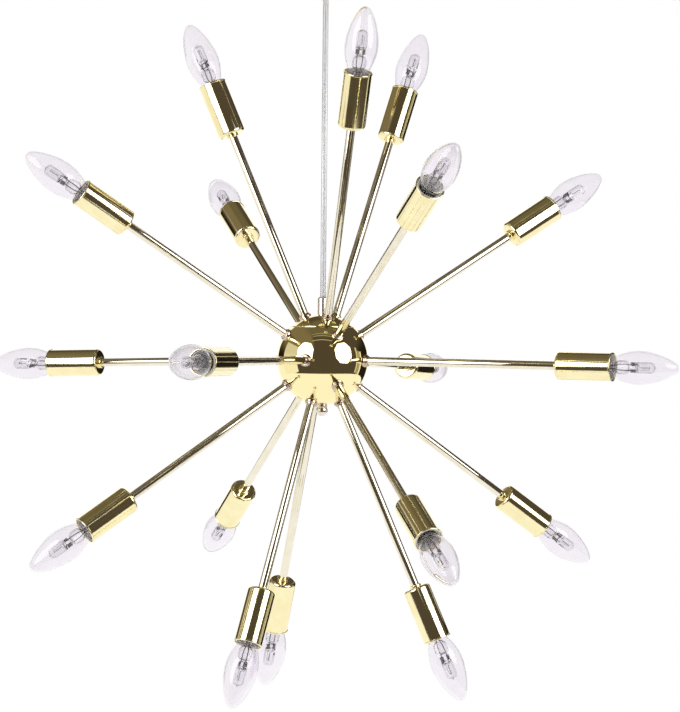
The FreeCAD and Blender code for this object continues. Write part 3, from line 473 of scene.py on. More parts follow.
# ---- materials
class Nodes:
    """The nodes of a material or world, with short calls that make a node and link what goes into it."""

    def __init__(self, owner):
        owner.use_nodes = True
        self.owner = owner
        self.tree = owner.node_tree
        self.tree.nodes.clear()

    def make(self, kind, inputs=None, **settings):
        node = self.tree.nodes.new("ShaderNode" + kind)
        for name, value in settings.items():
            setattr(node, name, value)
        for key, value in (inputs or {}).items():
            if isinstance(value, bpy.types.NodeSocket):
                self.tree.links.new(value, node.inputs[key])
            else:
                node.inputs[key].default_value = value
        return node

    def sum(self, operation, first, second=0.0):
        return self.make("Math", {0: first, 1: second}, operation=operation).outputs[0]

    def dot(self, first, second):
        return self.make("VectorMath", {0: first, 1: second}, operation="DOT_PRODUCT").outputs["Value"]

    def step(self, value, low, high, made_low=0.0, made_high=1.0):
        """Smoothly from one value to another as the value goes from low to high."""
        inputs = {"Value": value, "From Min": low, "From Max": high, "To Min": made_low, "To Max": made_high}
        return self.make("MapRange", inputs, interpolation_type="SMOOTHSTEP").outputs[0]

    def mix(self, factor, first, second):
        return self.make("Mix", {0: factor, 6: first, 7: second}, data_type="RGBA").outputs[2]

    def noise(self, place, scale, stretch=(1, 1, 1), detail=3.0):
        """Grain on a place in millimetres, stretched along the directions whose share is small."""
        place = self.make("VectorMath", {0: place, 1: stretch}, operation="MULTIPLY").outputs[0]
        inputs = {"Vector": place, "Scale": scale, "Detail": detail, "Roughness": 0.6}
        return self.make("TexNoise", inputs).outputs["Fac"]

    def place(self, drawn):
        """Where a point is in its own piece, in millimetres."""
        if drawn:
            return self.make("Attribute", attribute_name="drawn_at").outputs["Vector"]
        whole = self.make("TexCoord").outputs["Object"]
        return self.make("VectorMath", {0: whole, "Scale": 1 / MM}, operation="SCALE").outputs[0]

    def clouded(self, place, scale, detail, light, deep):
        """One colour that goes over into another in soft clouds."""
        clouds = self.noise(place, scale, detail=detail)
        return self.mix(self.step(clouds, 0.3, 0.7), light + (1,), deep + (1,))

    def relief(self, strength, depth, height):
        """Relief whose depth is in millimetres."""
        return self.make("Bump", {"Strength": strength, "Distance": depth * MM, "Height": height}).outputs[0]

    def principled(self, inputs):
        return self.finish(self.make("BsdfPrincipled", inputs).outputs[0])

    def finish(self, shader):
        self.make("OutputMaterial", {"Surface": shader})
        return self.owner


def metal(name, light, deep, grain, rough, relief, drawn=True, fineness=1.6):
    """Polished or plated metal: cloudy colour, and fine lines along the grain in its gloss and relief."""
    nodes = Nodes(bpy.data.materials.new(name))
    place = nodes.place(drawn)
    colour = nodes.clouded(place, 0.06, 4.0, light, deep)
    lines = nodes.noise(place, fineness, grain, 6.0)
    specks = nodes.noise(place, 1.1, detail=2.0)
    wear = nodes.sum("ADD", nodes.sum("MULTIPLY", lines, 0.75), nodes.sum("MULTIPLY", specks, 0.25))
    roughness = nodes.step(wear, 0.25, 0.75, rough[0], rough[1])
    bump = nodes.relief(relief, 0.1, wear)
    return nodes.principled({"Base Color": colour, "Metallic": 1.0, "Roughness": roughness, "Normal": bump})


def moulding(name, light, deep, rough=(0.32, 0.5), drawn=True):
    """Moulded plastic or glazed ceramic with a faint mottle and a soft sheen."""
    nodes = Nodes(bpy.data.materials.new(name))
    place = nodes.place(drawn)
    colour = nodes.clouded(place, 0.12, 4.0, light, deep)
    skin = nodes.noise(place, 2.2)
    roughness = nodes.step(skin, 0.3, 0.7, rough[0], rough[1])
    bump = nodes.relief(0.15, 0.05, skin)
    return nodes.principled({"Base Color": colour, "Roughness": roughness, "Normal": bump})


def glass(name, clear, tinted, rim, refraction, painted_rim_shade_from, rough=0.0, ripple=0.12, drawn=True):
    """Clear glass or plastic: an uneven tint, a painted shade that darkens its rim where it is seen edge on,
    and a slow ripple.
    """
    nodes = Nodes(bpy.data.materials.new(name))
    place = nodes.place(drawn)
    colour = nodes.clouded(place, 0.05, 2.0, clear, tinted)
    # painted shade: the tint goes over to the dark rim colour where the glass is seen edge on, in place of
    # the dark edges that refraction and reflection give
    edge = nodes.make("LayerWeight", {"Blend": 0.5}).outputs["Facing"]
    colour = nodes.mix(nodes.step(edge, *painted_rim_shade_from), colour, rim + (1,))
    skin = nodes.noise(place, 0.9)
    roughness = nodes.step(skin, 0.35, 0.7, rough * 0.4, rough)
    waves = nodes.noise(place, 0.11, (1, 1, 0.5), 1.0)
    bump = nodes.relief(ripple, 0.8, waves)
    return nodes.principled({"Base Color": colour, "Roughness": roughness, "Normal": bump, "IOR": refraction,
                             "Transmission Weight": 1.0})


BRASS_LIGHT = (0.965, 0.86, 0.50)
BRASS_DEEP = (0.945, 0.82, 0.45)
ALONG = (1.0, 1.0, 0.02)
AROUND = (0.02, 0.02, 1.0)
EVEN = (0.3, 0.3, 0.3)
BALL_BRASS = metal("brass_ball", BRASS_LIGHT, BRASS_DEEP, EVEN, (0.025, 0.05), 0.02)
TUBE_BRASS = metal("brass_tube", (0.86, 0.81, 0.68), (0.80, 0.745, 0.60), ALONG, (0.03, 0.06), 0.03)
CUP_BRASS = metal("brass_cup", (0.94, 0.86, 0.54), (0.90, 0.80, 0.48), ALONG, (0.04, 0.11), 0.7,
                  fineness=0.55)
COLLAR_BRASS = metal("brass_collar", (0.66, 0.55, 0.45), (0.55, 0.44, 0.35), AROUND, (0.06, 0.14), 0.08)
STEM_BRASS = metal("brass_pale", (0.83, 0.76, 0.69), (0.74, 0.66, 0.60), AROUND, (0.05, 0.11), 0.08)
TURNED_BRASS = metal("brass_turned", BRASS_LIGHT, BRASS_DEEP, AROUND, (0.05, 0.11), 0.10)
STEEL = ((0.68, 0.68, 0.67), (0.58, 0.58, 0.56), EVEN, (0.22, 0.38), 0.25)
PLATE_STEEL = metal("steel_plated", *STEEL)
NODE_STEEL = metal("steel_plated_node", *STEEL, False)
NICKEL = metal("nickel_screw_shell", (0.74, 0.72, 0.68), (0.64, 0.62, 0.57), AROUND, (0.12, 0.25), 0.15)
LEAD_METAL = metal("wire_dark", (0.16, 0.155, 0.15), (0.10, 0.10, 0.10), ALONG, (0.2, 0.4), 0.1)
SOLDER = metal("solder", (0.60, 0.60, 0.61), (0.45, 0.45, 0.46), EVEN, (0.25, 0.45), 0.4)
IVORY = ((0.86, 0.85, 0.82), (0.80, 0.79, 0.75))
WHITE = moulding("moulding_white", *IVORY)
NODE_WHITE = moulding("moulding_white_node", *IVORY, drawn=False)
BLACK_GLASS = moulding("insulator_black", (0.02, 0.02, 0.025), (0.035, 0.03, 0.03), (0.05, 0.15))
NODE_SHEATH = moulding("wire_sheath_node", (0.80, 0.78, 0.72), (0.74, 0.72, 0.66), (0.35, 0.5), False)
CORE_WHITE = moulding("cable_core", (0.90, 0.89, 0.90), (0.84, 0.83, 0.85))
# the third colour of each glass is the painted shade of its rim where it is seen edge on
BULB_GLASS = glass("glass_bulb", (0.96, 0.94, 0.965), (0.94, 0.915, 0.95), (0.12, 0.115, 0.13), 1.47,
                   (0.70, 0.93), ripple=0.06)
QUARTZ = glass("glass_capsule", (0.95, 0.945, 0.955), (0.92, 0.915, 0.93), (0.03, 0.03, 0.035), 1.46,
               (0.45, 0.8), ripple=0.2)
NODE_CLEAR = glass("cable_sheath_node", (0.97, 0.97, 0.98), (0.93, 0.93, 0.95), (0.06, 0.06, 0.07), 1.45,
                   (0.30, 0.65), 0.05, 0.05, False)


# ---- the camera
def photograph_camera():
    """The camera where the photograph was taken from, level but for a small pitch and roll."""
    pitch, roll = math.radians(VIEW_PITCH), math.radians(VIEW_ROLL)
    right = Vector((math.cos(roll), math.sin(pitch) * math.sin(roll), math.cos(pitch) * math.sin(roll)))
    up = Vector((-math.sin(roll), math.sin(pitch) * math.cos(roll), math.cos(pitch) * math.cos(roll)))
    forward = Vector((0, math.cos(pitch), -math.sin(pitch)))
    aside = (BALL_PIXEL[0] - VIEW_WIDTH / 2) / VIEW_FOCAL_PIXELS * VIEW_DISTANCE
    above = (VIEW_HEIGHT / 2 - BALL_PIXEL[1]) / VIEW_FOCAL_PIXELS * VIEW_DISTANCE
    ball = Vector((0, 0, -CEILING_TO_BALL))
    place = ball - right * aside - up * above - forward * VIEW_DISTANCE
    camera = bpy.data.cameras.new("photograph")
    camera.sensor_width = SENSOR_LONG_SIDE
    camera.lens = VIEW_FOCAL_PIXELS * SENSOR_LONG_SIDE / VIEW_HEIGHT
    camera.clip_start = 0.05
    camera.clip_end = 50.0
    eye = new_object("photograph", camera)
    turn = Matrix((right, up, -forward)).transposed()
    eye.matrix_world = Matrix.Translation(place * MM) @ turn.to_4x4()
    bpy.context.scene.camera = eye


# ---- the cable
def cable():
    """The clear cable from the bush to the stem, pulled straight by the lamp, with two twisted cores."""
    top = BUSH_LOW * MM
    bottom = (STEM_TOP - CEILING_TO_BALL) * MM
    end = CABLE_END * MM
    route = [(0, 0, top), (0, 0, top - end), (0, 0, bottom + end), (0, 0, bottom)]
    line = bpy.data.curves.new("cable_sheath", "CURVE")
    line.dimensions = "3D"
    spline = line.splines.new("NURBS")
    spline.points.add(len(route) - 1)
    for point, place in zip(spline.points, route):
        point.co = (*place, 1)
    spline.order_u = 3
    spline.use_endpoint_u = True
    spline.resolution_u = 48
    bare = new_object("cable_route", line)
    places = [vertex.co / MM for vertex in evaluated_mesh(bare).vertices]
    bpy.data.objects.remove(bare)
    line.bevel_depth = CABLE_RADIUS * MM
    line.bevel_resolution = 8
    line.use_fill_caps = True
    line.materials.append(NODE_CLEAR)
    sheath = put("cable_sheath", line, "cable_run", ["cable"])
    for half_turn in (0, 1):
        path = []
        for place in places:
            angle = 2 * math.pi * place.z / CABLE_CORE_LAY + math.pi * half_turn
            path.append(place + Vector((math.cos(angle), math.sin(angle), 0)) * CABLE_CORE_OFFSET)
        strand = new_mesh("cable_core_%d" % (half_turn + 1), [wire(path, CABLE_CORE_RADIUS, 12)], CORE_WHITE)
        put(strand.name, strand, "cable_run")


photograph_camera()
cable()


# ---- the arms, drawn up +Z from the ball's centre
LOWERED = Matrix.Translation((0, 0, -CEILING_TO_BALL))


def arm_matrices(ring):
    """The turns that carry what is drawn up +Z out to each arm of a ring, in millimetres."""
    elevation, count, first = ring[1:]
    tilt = Matrix.Rotation(math.radians(90 - elevation), 4, "Y")
    turns = [math.radians(first + 360 * k / count) for k in range(count)]
    return [LOWERED @ Matrix.Rotation(turn, 4, "Z") @ tilt for turn in turns]


def out_on_arms(shapes, rings=ARM_RINGS):
    """The shapes, once for every arm of the rings."""
    grain_step = Vector((37.0, 11.0, 5.0))
    made = []
    for ring in rings:
        for matrix in arm_matrices(ring):
            made += [shape.moved(matrix, grain_step * len(made)) for shape in shapes]
    return made


def arm_tube():
    return lathe(rounded([
        (ARM_BORE, ARM_START, 0.1), (THREAD_RADIUS, ARM_START, 0.4),
        (THREAD_RADIUS, COLLAR_TOP, 0), (ARM_RADIUS, COLLAR_TOP, 0.2),
        (ARM_RADIUS, ARM_END, 0.2), (THREAD_RADIUS, ARM_END, 0),
        (THREAD_RADIUS, THREAD_END, 0.4), (ARM_BORE, THREAD_END, 0.1),
    ]), 40)


def ball_collar():
    """The stepped ring between an arm and the ball, seated on the ball's own curve."""
    step_low = COLLAR_TOP - COLLAR_STEP_HEIGHT
    corners = rounded([
        (HOLE_RADIUS, COLLAR_TOP, 0), (COLLAR_STEP_RADIUS, COLLAR_TOP, 0.6),
        (COLLAR_STEP_RADIUS, step_low + 0.2, 0.15), (COLLAR_RADIUS - 0.6, step_low, 0.1),
        (COLLAR_RADIUS, step_low - 0.2, 0.7),
        (COLLAR_RADIUS, on_ball(COLLAR_RADIUS), 0),
    ], closed=False)
    seat = [(across, on_ball(across)) for across in (5.8, 5.0, HOLE_RADIUS)]
    return lathe(corners + seat, 40)


def cup_collar():
    return lathe(rounded([
        (HOLE_RADIUS, ARM_END, 0), (CUP_COLLAR_RADIUS, ARM_END, 0.8),
        (CUP_COLLAR_RADIUS, CUP_BASE, 0.2), (HOLE_RADIUS, CUP_BASE, 0),
    ]), 40)


def cup():
    """A deep round cup with a rounded shoulder and a rolled lip round its mouth."""
    inside = CUP_RADIUS - CUP_WALL
    lip = CUP_RADIUS + CUP_LIP
    lip_low = CUP_MOUTH - CUP_LIP_HEIGHT
    return lathe(rounded([
        (HOLE_RADIUS, CUP_BASE, 0), (CUP_RADIUS, CUP_BASE, CUP_SHOULDER),
        (CUP_RADIUS, lip_low, 0.2), (lip, lip_low + 0.3, 0.25),
        (lip, CUP_MOUTH, CUP_LIP_ROUND), (inside, CUP_MOUTH, 0.35),
        (inside, HOLDER_LOW, CUP_SHOULDER - CUP_WALL), (HOLE_RADIUS, HOLDER_LOW, 0),
    ], steps=8), 72)


def holder():
    """The white lamp holder: a threaded base, a skirt that fills the cup and a well for the bulb's cap."""
    return lathe(rounded([
        (THREAD_RADIUS + 0.05, HOLDER_LOW, 0), (HOLDER_RADIUS - CUP_SHOULDER, HOLDER_LOW, 0.3),
        (HOLDER_RADIUS, HOLDER_LOW + CUP_SHOULDER, 0.3), (HOLDER_RADIUS, HOLDER_MOUTH, 0.6),
        (HOLDER_SINK_RADIUS, HOLDER_MOUTH, 0.3),
        (HOLDER_WELL_RADIUS, HOLDER_MOUTH - HOLDER_SINK_DEPTH, 0.5),
        (HOLDER_WELL_RADIUS, WELL_FLOOR, 0.3), (THREAD_RADIUS + 0.05, WELL_FLOOR, 0),
    ]), 56)


def threaded(crest, root, low, turns):
    """The rounded turns of a rolled screw shell, as the points of an outline going up."""
    points = []
    for turn in range(turns):
        for k in range(6):
            share = k / 6
            swell = math.sin(math.pi * share)
            points.append((root + (crest - root) * swell, low + (turn + share) * SCREW_PITCH))
    return points


def holder_contacts():
    """The holder's brass screw shell and the sprung tongue under the bulb's centre contact."""
    shell_low = SCREW_TOP - SHELL_LENGTH
    inner = SHELL_RADIUS - SHELL_WALL
    outside = threaded(SHELL_RADIUS, SHELL_RADIUS - 0.2, shell_low + 1, 4)
    shell = lathe([(SHELL_RADIUS - 0.2, SCREW_TOP), (inner, SCREW_TOP), (inner, shell_low),
                   (HOLDER_WELL_RADIUS, shell_low), (HOLDER_WELL_RADIUS, shell_low + 1)] + outside, 40)
    low = WELL_FLOOR
    radius = (BULB_END - 0.3 - low) / 2
    outer_bow = arc(0, low + radius, radius, 55, 305, 20)
    inner_bow = arc(0, low + radius, radius - TONGUE_THICKNESS, 305, 55, 20)
    tongue = prism(outer_bow + inner_bow, TONGUE_HALF_WIDTH, 0.12)
    return [shell, tongue]


# ---- the bulb
def glass_side(inset):
    """Points of the candle-shaped glass from its neck to its tip, drawn in by an inset."""
    neck = GLASS_NECK_RADIUS - inset
    belly = BULB_RADIUS - inset
    nose = NOSE_RADIUS - inset
    lean = math.radians(NOSE_LEAN)
    nose_centre = GLASS_LENGTH - NOSE_RADIUS
    nose_start = (nose * math.cos(lean), nose_centre + nose * math.sin(lean))
    widest = (belly, GLASS_WIDEST_HEIGHT)
    lower = cubic((neck, 0), (neck + GLASS_LENGTH * 0.04, GLASS_LENGTH * 0.071),
                  (belly, GLASS_WIDEST_HEIGHT - GLASS_LENGTH * 0.151), widest, 14)
    pull = GLASS_LENGTH * 0.153
    last_pull = (nose_start[0] + pull * math.sin(lean), nose_start[1] - pull * math.cos(lean))
    upper = cubic(widest, (belly, GLASS_WIDEST_HEIGHT + GLASS_LENGTH * 0.177), last_pull, nose_start, 22)
    tip = arc(0, nose_centre, nose, NOSE_LEAN, 90, 8)
    tip[-1] = (0, nose_centre + nose)
    return lower + upper + tip


def raised(outline, height=GLASS_BASE):
    return [(across, above + height) for across, above in outline]


def envelope():
    return lathe(raised(glass_side(0) + glass_side(GLASS_WALL)[::-1]), 56)


def flare_side(inset):
    """Points of the glass bell in the neck, from its foot to its closed top, drawn in by an inset."""
    foot = GLASS_NECK_RADIUS - GLASS_WALL - 0.05 - inset
    neck = FLARE_NECK_RADIUS - inset
    side = FLARE_RADIUS - inset
    top = FLARE_HEIGHT - inset
    return rounded([
        (foot, 0.3, 0), (neck, 4.5, 2.0),
        (neck, 8.0, 1.5), (side, 11.0, 3.0),
        (side, top, 4.5), (0, top, 0),
    ], closed=False, steps=6)


def flare():
    return lathe(raised(flare_side(0) + flare_side(FLARE_WALL)[::-1]), 40)


def capsule():
    """The quartz capsule: a round chamber with a domed top and a pip, drawn flat into its pinched foot."""
    sections = [
        (PINCH_LOW, PINCH_HALF_WIDTH * 0.96, PINCH_HALF_DEPTH * 0.8, 5.0),
        (PINCH_LOW + 0.4, PINCH_HALF_WIDTH, PINCH_HALF_DEPTH, 5.0),
        (CAPSULE_LOW - 1.2, PINCH_HALF_WIDTH, PINCH_HALF_DEPTH, 4.5),
        (CAPSULE_LOW - 0.3, PINCH_HALF_WIDTH, PINCH_HALF_DEPTH * 1.3, 3.2),
        (CAPSULE_LOW + 0.8, CAPSULE_RADIUS * 0.97, CAPSULE_RADIUS * 0.8, 2.3),
        (CAPSULE_LOW + 2.2, CAPSULE_RADIUS, CAPSULE_RADIUS, 2.0),
    ]
    for k in range(9):
        angle = math.radians(9 * k)
        radius = CAPSULE_RADIUS * math.cos(angle) ** 0.8
        sections.append((CAPSULE_HIGH - CAPSULE_DOME + CAPSULE_DOME * math.sin(angle), radius, radius, 2.0))
    sections += [
        (CAPSULE_HIGH - 0.1, 1.1, 1.1, 2.0), (CAPSULE_HIGH + 0.9, 0.8, 0.8, 2.0),
        (CAPSULE_HIGH + 1.3, 0.35, 0.35, 2.0),
    ]
    outside = loft([(height + GLASS_BASE, wide, deep, square) for height, wide, deep, square in sections], 40)
    inner = CAPSULE_RADIUS - CAPSULE_WALL
    floor = CAPSULE_LOW + 1.6
    ceiling = CAPSULE_HIGH - CAPSULE_WALL
    chamber = rounded([(0, floor, 0), (inner, floor, 2.2), (inner, ceiling, 3.4), (0, ceiling, 0)],
                      closed=False, steps=7)
    return [outside, lathe(raised(chamber), 40, hollow=True)]


def bulb_wires():
    """Two support wires, the foils in the pinch, the inner leads and the coiled filament between them."""
    made = []
    for side in (-1, 1):
        far = side * SUPPORT_WIRE_SPREAD
        path = [(far * 0.5, 0, 1.0), (far * 0.55, 0, 8.0), (far * 0.95, 0, 13.0), (far, 0, 18.0),
                (far, 0, PINCH_LOW)]
        made.append(wire([(x, y, z + GLASS_BASE) for x, y, z in path], SUPPORT_WIRE_RADIUS))
        foil = loft([(GLASS_BASE + PINCH_LOW + 0.3, FOIL_HALF_WIDTH, 0.3, 6.0),
                     (GLASS_BASE + CAPSULE_LOW - 0.4, FOIL_HALF_WIDTH, 0.3, 6.0)], 16)
        made.append(foil.moved(Matrix.Translation((far, 0, 0))))
        top = FILAMENT_LOW if side < 0 else FILAMENT_HIGH
        inner = [(far * 0.6, 0, CAPSULE_LOW - 0.8), (far * 0.75, 0, CAPSULE_LOW + 3.0),
                 (far * 0.7, 0, top - 1.0), (0, 0, top)]
        made.append(wire([(x, y, z + GLASS_BASE) for x, y, z in inner], 0.2, 6))
    coil = []
    steps = FILAMENT_TURNS * 10
    for k in range(steps + 1):
        angle = 2 * math.pi * FILAMENT_TURNS * k / steps
        height = GLASS_BASE + FILAMENT_LOW + (FILAMENT_HIGH - FILAMENT_LOW) * k / steps
        coil.append((FILAMENT_RADIUS * math.cos(angle), FILAMENT_RADIUS * math.sin(angle), height))
    made.append(wire(coil, 0.13, 5))
    return made


def screw_shell():
    """The bulb's screw cap: rolled turns, then a plain skirt round the glass's neck."""
    skirt = GLASS_NECK_RADIUS + 0.12
    inside = SCREW_ROOT - SCREW_WALL
    return lathe(threaded(SCREW_CREST, SCREW_ROOT, SCREW_LOW, SCREW_TURNS) + [
        (SCREW_ROOT, SCREW_TOP), (skirt - 0.3, SCREW_TOP + 1.8),
        (skirt, SCREW_TOP + 2.2), (skirt, GLASS_BASE - 0.2),
        (skirt - 0.1, GLASS_BASE), (inside, GLASS_BASE),
        (inside, SCREW_LOW),
    ], 48)


def insulator():
    low = SCREW_LOW - INSULATOR_HEIGHT
    return lathe(rounded([
        (0, low, 0), (CONTACT_RADIUS + 0.8, low, 0.5),
        (SCREW_ROOT - 0.1, SCREW_LOW, 0.3), (0, SCREW_LOW, 0),
    ], closed=False), 40)


def centre_contact():
    return lathe(rounded([
        (0, BULB_END, 0), (CONTACT_RADIUS, BULB_END, 0.9),
        (CONTACT_RADIUS, BULB_END + CONTACT_HEIGHT + 0.1, 0.1),
        (0, BULB_END + CONTACT_HEIGHT + 0.1, 0),
    ], closed=False), 32)


def to_metres(matrix):
    """A turn in millimetres, made to act on a mesh in metres."""
    return Matrix.Translation(matrix.translation * MM) @ matrix.to_3x3().to_4x4()


def bulbs():
    parts = (
        ("glass", new_mesh("bulb_glass", [envelope()], BULB_GLASS), "bulb_glass"),
        ("capsule", new_mesh("bulb_capsule", capsule() + [flare()], QUARTZ), "bulb_glass"),
        ("wires", new_mesh("bulb_wires", bulb_wires(), LEAD_METAL), "plated_steel"),
        ("screw_shell", new_mesh("bulb_screw_shell", [screw_shell()], NICKEL), "plated_steel"),
        ("insulator", new_mesh("bulb_insulator", [insulator()], BLACK_GLASS), "wire_sheath"),
        ("contact", new_mesh("bulb_contact", [centre_contact()], SOLDER), "plated_steel"),
    )
    number = 0
    for ring in ARM_RINGS:
        for matrix in arm_matrices(ring):
            number += 1
            node = "bulb_%02d" % number
            turn = matrix.to_3x3()
            facing = math.atan2(-turn[1][0], turn[1][1])
            spin = Matrix.Rotation(facing + BULB_SPIN * math.sin(BULB_SPIN_STEP * number), 4, "Z")
            for part, mesh, slot in parts:
                put(node + "_" + part, mesh, node + "_body", [node], to_metres(matrix @ spin))


def arms():
    for ring in ARM_RINGS:
        name = ring[0]
        tubes = new_mesh(name + "_arm_tubes", out_on_arms([arm_tube()], [ring]), TUBE_BRASS)
        put(tubes.name, tubes, "lamp", [name + "_arms"])
        shells = new_mesh(name + "_cup_shells", out_on_arms([cup()], [ring]), CUP_BRASS, 50.0)
        put(shells.name, shells, "lamp", [name + "_cups"])
    rest = (
        ("collar_rings", [ball_collar()], COLLAR_BRASS, "polished_brass", "ball_collars"),
        ("cup_collar_rings", [cup_collar()], TURNED_BRASS, "polished_brass", "cup_collars"),
        ("holder_sleeves", [holder()], WHITE, "white_moulding", "lamp_holders"),
        ("holder_springs", holder_contacts(), TURNED_BRASS, "polished_brass", "holder_contacts"),
    )
    for name, shapes, material, slot, node in rest:
        put(name, new_mesh(name, out_on_arms(shapes), material), "lamp", [node])


# ---- the ball, drawn about its own centre
def ball_angle(across, inset=0.0):
    """The angle above the horizon of the ball's skin, this far from the vertical axis."""
    return math.degrees(math.acos(across / (BALL_RADIUS - inset)))


def ball_lid():
    rim = math.sqrt((BALL_RADIUS - BALL_WALL) ** 2 - SEAM_HEIGHT**2) - LIP_GAP
    seam = math.degrees(math.asin((SEAM_HEIGHT + SEAM_ROUND) / BALL_RADIUS))
    lip_top = ball_angle(rim - LIP_WALL, BALL_WALL)
    outside = arc(0, 0, BALL_RADIUS, seam, ball_angle(NIPPLE_RADIUS + 0.1), 22)
    inside = arc(0, 0, BALL_RADIUS - BALL_WALL, ball_angle(NIPPLE_RADIUS + 0.1, BALL_WALL), lip_top, 18)
    foot = outside[0][0]
    lip = [
        (rim - LIP_WALL, SEAM_HEIGHT - LIP_HEIGHT), (rim, SEAM_HEIGHT - LIP_HEIGHT),
        (rim, SEAM_HEIGHT), (foot - 0.35, SEAM_HEIGHT),
        (foot - 0.08, SEAM_HEIGHT + 0.08),
    ]
    return lathe(outside + inside + lip, 160).moved(LOWERED)


def ball_bowl():
    edge = SEAM_HEIGHT - SEAM_GAP
    seam = math.degrees(math.asin((edge - SEAM_ROUND) / BALL_RADIUS))
    inner_seam = math.degrees(math.asin(edge / (BALL_RADIUS - BALL_WALL)))
    outside = arc(0, 0, BALL_RADIUS, -ball_angle(ROD_HOLE_RADIUS), seam, 66)
    inside = arc(0, 0, BALL_RADIUS - BALL_WALL, inner_seam, -ball_angle(ROD_HOLE_RADIUS, BALL_WALL), 40)
    foot = outside[-1][0]
    rim = [(foot, edge - 0.08), (foot - 0.3, edge)]
    return lathe(outside + rim + inside, 160).moved(LOWERED)


def hole_cutters(lid):
    """Rods through the ball's skin where the arms are screwed in, for the lid or for the bowl."""
    rings = [ring for ring in ARM_RINGS
             if (BALL_RADIUS * math.sin(math.radians(ring[1])) > SEAM_HEIGHT) == lid]
    return out_on_arms([pin(HOLE_RADIUS, ARM_START, HOLE_CUT_TOP)], rings)


def stem():
    """The turned grip on top of the ball that holds the cable's end."""
    seat = [(across, on_ball(across)) for across in (STEM_RADIUS, NIPPLE_RADIUS + 0.05)]
    return lathe(seat + rounded([
        (NIPPLE_RADIUS + 0.05, NIPPLE_TOP, 0), (CABLE_BORE, NIPPLE_TOP, 0),
        (CABLE_BORE, STEM_TOP, 0.2), (STEM_RADIUS - STEM_BEVEL, STEM_TOP, 0.2),
        (STEM_RADIUS, STEM_TOP - STEM_BEVEL, 0.2),
        (STEM_RADIUS, on_ball(STEM_RADIUS) + 0.2, 0),
    ], closed=False), 48).moved(LOWERED)


def finial():
    """The ball-shaped nut that closes the bowl from below."""
    bottom = -BALL_RADIUS - FINIAL_HEIGHT
    middle = bottom + FINIAL_RADIUS
    neck_angle = math.degrees(math.acos(FINIAL_NECK_RADIUS / FINIAL_RADIUS))
    ball = arc(0, middle, FINIAL_RADIUS, -90, neck_angle, 18)
    ball[0] = (0, bottom)
    foot_low = -BALL_RADIUS - FINIAL_FOOT_HEIGHT
    collar = rounded([
        ball[-1] + (0,),
        (FINIAL_NECK_RADIUS, foot_low, 0.2), (FINIAL_FOOT_RADIUS, foot_low, 0.8),
        (FINIAL_FOOT_RADIUS, -on_ball(FINIAL_FOOT_RADIUS), 0),
    ], closed=False)
    bore = ROD_HOLE_RADIUS - 0.05
    thread_end = bottom + FINIAL_HEIGHT * 0.4 - 0.5
    inside = [(4.4, -on_ball(4.4)), (bore, -on_ball(bore)), (bore, thread_end), (0, thread_end)]
    return lathe(ball + collar[1:] + inside, 48).moved(LOWERED)


def ball():
    lid = with_cuts(new_mesh("ball_lid", [ball_lid()], BALL_BRASS), hole_cutters(True))
    put("ball_lid", lid, "lamp", ["ball_cap"])
    bowl = with_cuts(new_mesh("ball_bowl_shell", [ball_bowl()], BALL_BRASS), hole_cutters(False))
    put("ball_bowl_shell", bowl, "lamp", ["ball_bowl"])
    put("stem_turned", new_mesh("stem_turned", [stem()], STEM_BRASS), "lamp", ["stem_grip"])
    put("finial_nut", new_mesh("finial_nut", [finial()], STEM_BRASS), "lamp", ["finial"])


# ---- the ceiling fitting
def canopy():
    inner = CANOPY_RADIUS - CANOPY_WALL
    hole = BUSH_NECK_RADIUS + 0.1
    return lathe(rounded([
        (CANOPY_RADIUS, 0, 0.3), (CANOPY_RADIUS, -CANOPY_HEIGHT, CANOPY_ROUND),
        (hole, -CANOPY_HEIGHT, 0.2), (hole, -CANOPY_HEIGHT + CANOPY_WALL, 0.2),
        (inner, -CANOPY_HEIGHT + CANOPY_WALL, CANOPY_ROUND - CANOPY_WALL), (inner, 0, 0.3),
    ], steps=10), 128)


def bush():
    """The bush under the canopy, with a flared mouth that lets the cable swing without chafing."""
    return lathe(rounded([
        (BUSH_BORE, BUSH_HIGH, 0.2), (BUSH_NECK_RADIUS, BUSH_HIGH, 0.4),
        (BUSH_NECK_RADIUS, -CANOPY_HEIGHT, 0), (BUSH_RADIUS, -CANOPY_HEIGHT, 0.2),
        (BUSH_RADIUS, BUSH_LOW, 1.5), (BUSH_FLARE_RADIUS, BUSH_LOW, 0.3),
    ]), 56)


def canopy_screw(side):
    """A knurled round-headed screw through the canopy's side into the bracket's ear."""
    head_radius, head_height = CANOPY_SCREW_HEAD
    tip = BRACKET_EAR - BRACKET_THICKNESS - 3.0
    seat = CANOPY_RADIUS
    shape = lathe(rounded([
        (0, tip, 0), (CANOPY_SCREW_RADIUS, tip, 0.4),
        (CANOPY_SCREW_RADIUS, seat, 0), (head_radius, seat, 0.2),
        (head_radius, seat + head_height - 0.2, 1.4), (0, seat + head_height - 0.2, 0),
    ], closed=False), 60)
    shape = knurled(shape, seat + 0.3, seat + head_height - 1.5, 0.05)
    turn = Matrix.Rotation(math.radians(90 * side), 4, "Y")
    return shape.moved(Matrix.Translation((0, 0, -CANOPY_SCREW_DROP)) @ turn)


def bracket():
    """A steel strap whose middle is dropped to carry the cable, with an ear down at each end."""
    thick = BRACKET_THICKNESS
    shoulder = BRACKET_HALF_MIDDLE + BRACKET_SLOPE
    lean = thick * 0.5
    right = [
        (BRACKET_HALF_MIDDLE, -BRACKET_DIP), (shoulder, -thick),
        (BRACKET_EAR - thick, -thick), (BRACKET_EAR - thick, -BRACKET_EAR_LENGTH),
        (BRACKET_EAR, -BRACKET_EAR_LENGTH), (BRACKET_EAR, 0),
        (shoulder - lean, 0), (BRACKET_HALF_MIDDLE - lean, -BRACKET_DIP + thick),
    ]
    left = [(-across, height) for across, height in reversed(right)]
    return prism(right + left, BRACKET_HALF_WIDTH, 0.35)


